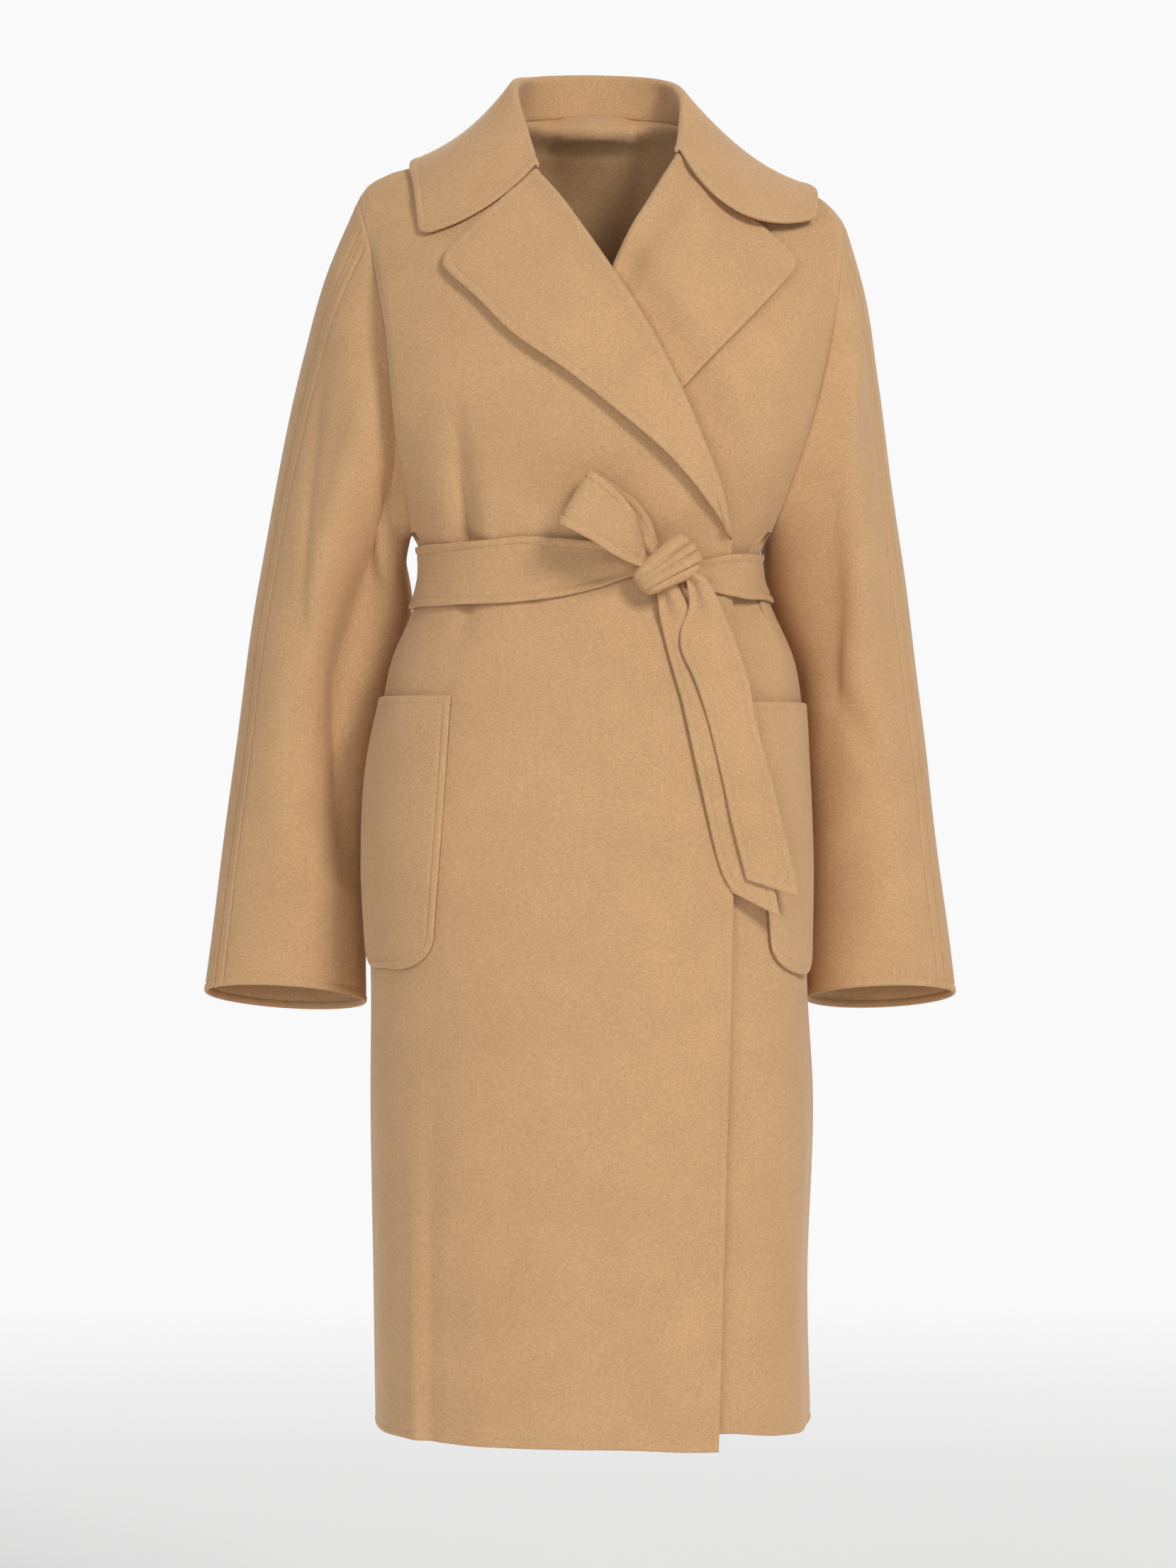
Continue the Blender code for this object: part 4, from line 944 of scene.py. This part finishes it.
def collar():
    """The collar: a stand up from the neck seam, a fold, and a fall to the outside."""
    tips = np.unique(np.concatenate([TIP_STEPS * COLLAR_CORNER / TIP_STEPS[-1], EDGE_STEPS]))
    inner = np.linspace(tips[-1], COLLAR_LENGTH - tips[-1], 190)[1:-1]
    places = np.concatenate([tips, inner, COLLAR_LENGTH - tips[::-1]])
    up = np.array([0.0, 0.0, 1.0])
    rows = []
    for share in places / COLLAR_LENGTH:
        seam, roll, mid, edge = row_at(COLLAR, share).reshape(4, 3)
        outward = (edge - seam) * (1, 1, 0)
        outward = outward / np.linalg.norm(outward)
        high = min(1.0, max(roll[2] - seam[2], 0) / STAND_HEIGHT)
        seam = seam - (up * STAND_DROP + outward * STAND_INSET) * high
        radius = COLLAR_FOLD * between(0.6, 1, high)
        fall = mid - roll
        last = math.atan2(max(-fall[2], 0), max(fall @ outward, 1e-6))
        angle = np.linspace(-math.pi / 2, last, 11)[:, None]
        bend = roll - up * radius + radius * (outward * np.sin(angle) + up * np.cos(angle))
        stand = between(seam, bend[0], np.linspace(0, 1, 10)[:-1, None])
        length = np.linalg.norm(edge - roll)
        s = resampled(stepped(length, LEAF_STEP, from_start=False), 44)[1:, None]
        s = s * corner_share(min(share, 1 - share) * COLLAR_LENGTH, length, COLLAR_CORNER)
        rows.append(np.vstack([stand, bend, curve(bend[-1], mid, edge, s)]))
    return Shell("collar", facing(np.array(rows), np.array([0.0, 1.0, 0.3])))


def pocket(side):
    """A patch on the front, from its inner edge round to just before the side seam."""
    top, foot = POCKET[side]["height"][0], POCKET[side]["height"][-1]
    straight = top - foot - POCKET_CORNER
    down = stepped(straight, 4, from_end=False)
    heights = [(top - straight * share, 0.0) for share in down]
    for turn in np.linspace(0, math.pi / 2, 26)[1:]:
        heights.append((foot + POCKET_CORNER * (1 - math.sin(turn)), 1 - math.cos(turn)))
    across = stepped(POCKET_WIDTH, 4)
    rows = []
    for z, rounding in heights:
        inner = float(along(POCKET[side], "across", z)) + POCKET_CORNER * rounding
        first = abs(float(ring_angle(side * inner, z)))
        last = POCKET_END - POCKET_END_CORNER * rounding
        puff = POCKET_PUFF + POCKET_GAPE * ease(z, top - POCKET_GAPE_HEIGHT, top)
        lift = POCKET_LIFT + puff * np.sin(math.pi * across) ** 0.7
        points = ring_point(side * between(first, last, across), z, lift)
        points[:, 1] += fold_depth(points[:, 0], z, FOLDS[FRONT]) * 0.5
        rows.append(points)
    outward = np.array([side, -1.0, 0.0])
    return Shell("pocket_" + SIDE_NAMES[side], facing(np.array(rows), outward))


def pleats(across, depth, count, phase):
    """The soft pleats across a belt where it is drawn into the knot."""
    return depth * np.cos(2 * math.pi * (count * across + phase))


def belt():
    """The belt round the waist, from the knot and back to it."""
    across = stepped(51, STRIP_STEP)
    rows = []
    for turn in np.linspace(BELT["turn"][0], BELT["turn"][-1], 420):
        top, bottom, lift = row_at(BELT, turn)
        place = turn / 57.3 * 130
        gather = ease(turn, 52, 30) + ease(turn, 340, 362)
        height = between(top, bottom, across) + 0.8 * ripple(place, 0, 70, 4)
        lift = lift - 0.3 + gather * pleats(across, *BELT_PLEATS)
        lift = lift + 0.7 * ripple(place, across * 50, 60, 9)
        rows.append(ring_point(math.radians(turn), height, lift))
    return Shell("belt_waist", facing(np.array(rows), lambda p: p * (1, 1, 0)))


def strip_places(edges, across):
    """The x and z of points across a strip, from those of its two edges."""
    return between(edges[0], edges[2], across), between(edges[1], edges[3], across)


def loop():
    """The half bow: two leaves and the fold between them, pleated at the knot."""
    across = stepped(50, STRIP_STEP)
    rows = []
    for share in np.linspace(0, 1, 150):
        *edges, out = row_at(LOOP, share)
        x, z = strip_places(edges, across)
        gather = ease(share, 0.26, 0.02) + ease(share, 0.8)
        y = -out - gather * pleats(across, *LOOP_PLEATS)
        y = y - 1.2 * ripple(share * 130, across * 50, 50, 2)
        rows.append(np.stack([x, y, z], -1))
    return Shell("belt_loop", np.array(rows))


def tail_y(x, z, lift):
    """The y of a tail that hangs over the front, leaning on it along one line."""
    hangs = ease(z, KNOT_MIDDLE[2], KNOT_MIDDLE[2] - 75)
    line = 56 + (-430 - z) * 0.26
    below = body_y(line, z, FRONT, folded=False) - lift + TAIL_TURN * (x - line)
    at_knot = KNOT_MIDDLE[1] - (lift - TAIL_BACK_LIFT) + 2
    return np.minimum(at_knot * (1 - hangs) + below * hangs, below)


def tail(name, data, lift, seed):
    """A tail from the knot to its slanted end, with pleats that die out below the knot."""
    length = 1.05 * abs(data["left_z"][-1] - data["left_z"][0])
    across = stepped(44, STRIP_STEP)
    rows = []
    for share in stepped(length, STRIP_STEP, from_start=False):
        x, z = strip_places(row_at(data, share), across)
        y = tail_y(x, z, lift) - ease(share, 0.42, 0) * pleats(across, *TAIL_PLEATS)
        y = y - ripple(share * length, across * 40, 110, seed)
        rows.append(np.stack([x, y, z], -1))
    return Shell(name, facing(np.array(rows), FORWARD))


def knot():
    """The knot: a blunt form of slanting wraps with soft valleys between them."""
    polar = np.linspace(0, math.pi, KNOT_RINGS + 1)[1:-1, None]
    turn = np.linspace(0, 2 * math.pi, KNOT_SIDES, endpoint=False)[None, :]
    length_power, girth_power, round_power = KNOT_BLUNT
    length = blunt(np.cos(polar), length_power) * np.ones_like(turn)
    girth = blunt(np.sin(polar), girth_power)
    across = girth * blunt(np.cos(turn), round_power)
    through = girth * blunt(np.sin(turn), round_power)
    wrap = np.zeros_like(length)
    for centre, width, slope, height in KNOT_WRAPS:
        off = (across - centre - slope * length) / width
        wrap = np.maximum(wrap, height * np.sqrt(np.maximum(1 - off**2, 0)))
    size = KNOT_VALLEY + KNOT_WRAP_RISE * wrap
    flared = across * size * (1 + 0.1 * length)
    unit = np.stack([length * (0.9 + 0.1 * size), flared, through * size], -1)
    unit = np.vstack([unit.reshape(-1, 3), [[0.99, 0, 0], [-0.99, 0, 0]]]) * KNOT_SIZE
    c, s = math.cos(KNOT_SLOPE), math.sin(KNOT_SLOPE)
    placed = unit @ np.array([[c, 0, s], [-s, 0, c], [0, -1, 0]]) + KNOT_MIDDLE
    numbers = np.arange(wrap.size).reshape(wrap.shape)
    numbers = np.hstack([numbers, numbers[:, :1]])
    faces = grid_quads(numbers)[:, [0, 3, 2, 1]].tolist()
    for k in range(KNOT_SIDES):
        faces.append([wrap.size, numbers[0, k + 1], numbers[0, k]])
        faces.append([wrap.size + 1, numbers[-1, k], numbers[-1, k + 1]])
    return add_mesh("belt_knot", placed, faces)


# Materials.


def link_or_set(tree, socket, value):
    if isinstance(value, bpy.types.NodeSocket):
        tree.links.new(value, socket)
    else:
        socket.default_value = value


def add_node(tree, kind, **values):
    """A shader node, with named inputs set to plain values or linked from other sockets."""
    node = tree.nodes.new(kind)
    for name, value in values.items():
        if name.startswith("set_"):
            setattr(node, name[4:], value)
        else:
            link_or_set(tree, node.inputs[name.replace("_", " ")], value)
    return node


def shades(contrast):
    """Two grey tones, one as far below white as the other is above."""
    low, high = 1 - contrast, 1 + contrast
    return (low, low * 0.99, low * 0.97, 1), (high, high, high * 1.01, 1)


def blend_colours(tree, kind, factor, first, second):
    """The output of a colour mix of two colours, each a plain value or another socket."""
    node = tree.nodes.new("ShaderNodeMix")
    node.data_type = "RGBA"
    node.blend_type = kind
    node.clamp_factor = True
    for number, value in ((0, factor), (6, first), (7, second)):
        link_or_set(tree, node.inputs[number], value)
    return node.outputs[2]


def new_material(name):
    """A new material, with its nodes and its main shader."""
    material = bpy.data.materials.new(name)
    material.use_nodes = True
    tree = material.node_tree
    return material, tree, tree.nodes["Principled BSDF"]


def wool_material(name, turn):
    """Felted double-faced wool: a short brushed nap with small mottles and a soft sheen."""
    material, tree, shader = new_material(name)
    place = add_node(tree, "ShaderNodeTexCoord").outputs["Object"]
    lay = add_node(
        tree, "ShaderNodeMapping", Vector=place, Rotation=(0, turn, 0), Scale=(1, 1, 1.5)
    )
    nap = lay.outputs["Vector"]
    colour, relief = WOOL + (1,), {}
    for vector, (scale, contrast, depth) in ((nap, NAP), (nap, TUFTS), (place, PATCHES)):
        noise = add_node(
            tree, "ShaderNodeTexNoise", Vector=vector, Scale=scale, Detail=3.0, Roughness=0.6
        )
        mottle = noise.outputs["Fac"]
        tone = blend_colours(tree, "MIX", mottle, *shades(contrast))
        colour = blend_colours(tree, "MULTIPLY", 1.0, colour, tone)
        if depth:
            raised = add_node(
                tree, "ShaderNodeBump", Height=mottle, Strength=0.5, Distance=depth, **relief
            )
            relief = {"Normal": raised.outputs["Normal"]}
    tree.links.new(colour, shader.inputs["Base Color"])
    tree.links.new(relief["Normal"], shader.inputs["Normal"])
    for socket, value in WOOL_FINISH.items():
        shader.inputs[socket].default_value = value
    return material


# The coat.


def dress(piece, name, material):
    """Gives a piece its cloth and its body, and hides the solid that it stands for."""
    piece.data.materials.append(material)
    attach(piece, "root")
    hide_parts(name)


def make_coat():
    straight = wool_material("camel_wool", 0.0)
    across = wool_material("camel_wool_across", math.pi / 2)
    bias = wool_material("camel_wool_bias", math.radians(28))
    cloth = {"belt_waist": across, "collar": bias, "belt_loop": bias, "belt_knot": bias}
    shells = body_shells()
    seams = sew(shells)
    made = {shell.name: shell.make(seams[shell.name]) for shell in shells}
    front_tail = tail("belt_tail_front", TAIL_FRONT, TAIL_FRONT_LIFT, 3)
    back_tail = tail("belt_tail_back", TAIL_BACK, TAIL_BACK_LIFT, 7)
    for shell in (collar(), pocket(RIGHT), pocket(LEFT), belt(), loop(), front_tail, back_tail):
        made[shell.name] = shell.make()
    made["belt_knot"] = knot()
    for name in (*CUTS, "belt_knot"):
        dress(made[name], name, cloth.get(name, straight))


# Floor, light and camera.


def add_light(name, size, power, place, aim, colour):
    light = bpy.data.lights.new(name, "AREA")
    light.shape = "RECTANGLE"
    light.size, light.size_y = size
    light.energy = power
    light.color = colour
    lamp = add_object(name, light)
    lamp.location = place
    x, y, z = np.array(aim) - np.array(place)
    lamp.rotation_euler = (math.atan2(math.hypot(x, y), -z), 0, math.atan2(x, -y) + math.pi)


def map_range(tree, value, limits, results=(0, 1), kind="LINEAR"):
    """The value's place between its limits, as a number between the results."""
    node = add_node(
        tree,
        "ShaderNodeMapRange",
        set_interpolation_type=kind,
        Value=value,
        From_Min=limits[0],
        From_Max=limits[1],
        To_Min=results[0],
        To_Max=results[1],
    )
    return node.outputs["Result"]


def room_glow(tree, direction):
    """How bright the studio is in a direction: most behind the coat."""
    parts = add_node(tree, "ShaderNodeSeparateXYZ", Vector=direction)
    return map_range(tree, parts.outputs["Y"], ROOM_FADE, (ROOM_LIGHT, BACKDROP_LIGHT))


def add_floor():
    """A pale floor below the wearer's feet, which fades into the backdrop."""
    mesh = bpy.data.meshes.new("floor")
    corners = ((-1, -1), (1, -1), (1, 1), (-1, 1))
    mesh.from_pydata([(x * FLOOR_REACH, y * FLOOR_REACH, 0) for x, y in corners], [], [range(4)])
    floor = add_object("floor", mesh)
    floor.location.z = FLOOR_HEIGHT
    material, tree, shader = new_material("floor_pale")
    shader.inputs["Base Color"].default_value = FLOOR_PALE
    shader.inputs["Roughness"].default_value = FLOOR_ROUGHNESS
    place = add_node(tree, "ShaderNodeTexCoord").outputs["Object"]
    away = add_node(tree, "ShaderNodeVectorMath", set_operation="LENGTH", Vector=place)
    outward = add_node(tree, "ShaderNodeVectorMath", set_operation="NORMALIZE", Vector=place)
    glow = room_glow(tree, outward.outputs["Vector"])
    backdrop = add_node(tree, "ShaderNodeEmission", Strength=glow)
    mix = tree.nodes.new("ShaderNodeMixShader")
    far = map_range(tree, away.outputs["Value"], FLOOR_FADE, kind="SMOOTHSTEP")
    for number, socket in enumerate((far, shader.outputs["BSDF"], backdrop.outputs["Emission"])):
        tree.links.new(socket, mix.inputs[number])
    tree.links.new(mix.outputs["Shader"], tree.nodes["Material Output"].inputs["Surface"])
    mesh.materials.append(material)


def add_world():
    world = bpy.data.worlds.new("studio")
    bpy.context.scene.world = world
    world.use_nodes = True
    tree = world.node_tree
    direction = add_node(tree, "ShaderNodeTexCoord").outputs["Generated"]
    background = tree.nodes["Background"]
    background.inputs["Color"].default_value = (1, 1, 1, 1)
    tree.links.new(room_glow(tree, direction), background.inputs["Strength"])


def add_camera():
    """The photograph's view: level, and as far off as its perspective shows."""
    camera = bpy.data.cameras.new("camera")
    camera.sensor_fit = "VERTICAL"
    camera.sensor_height = 24.0
    camera.lens = camera.sensor_height * CAMERA_AWAY / VIEW_HEIGHT
    placed = add_object("camera", camera)
    placed.location = (CAMERA_ACROSS, -CAMERA_AWAY, CAMERA_HEIGHT)
    placed.rotation_euler = (math.pi / 2, 0, 0)
    bpy.context.scene.camera = placed


bpy.context.scene.view_settings.view_transform = "Standard"
make_coat()
add_floor()
add_world()
for light in LIGHTS:
    add_light(*light)
add_camera()

bpy.context.view_layer.update()
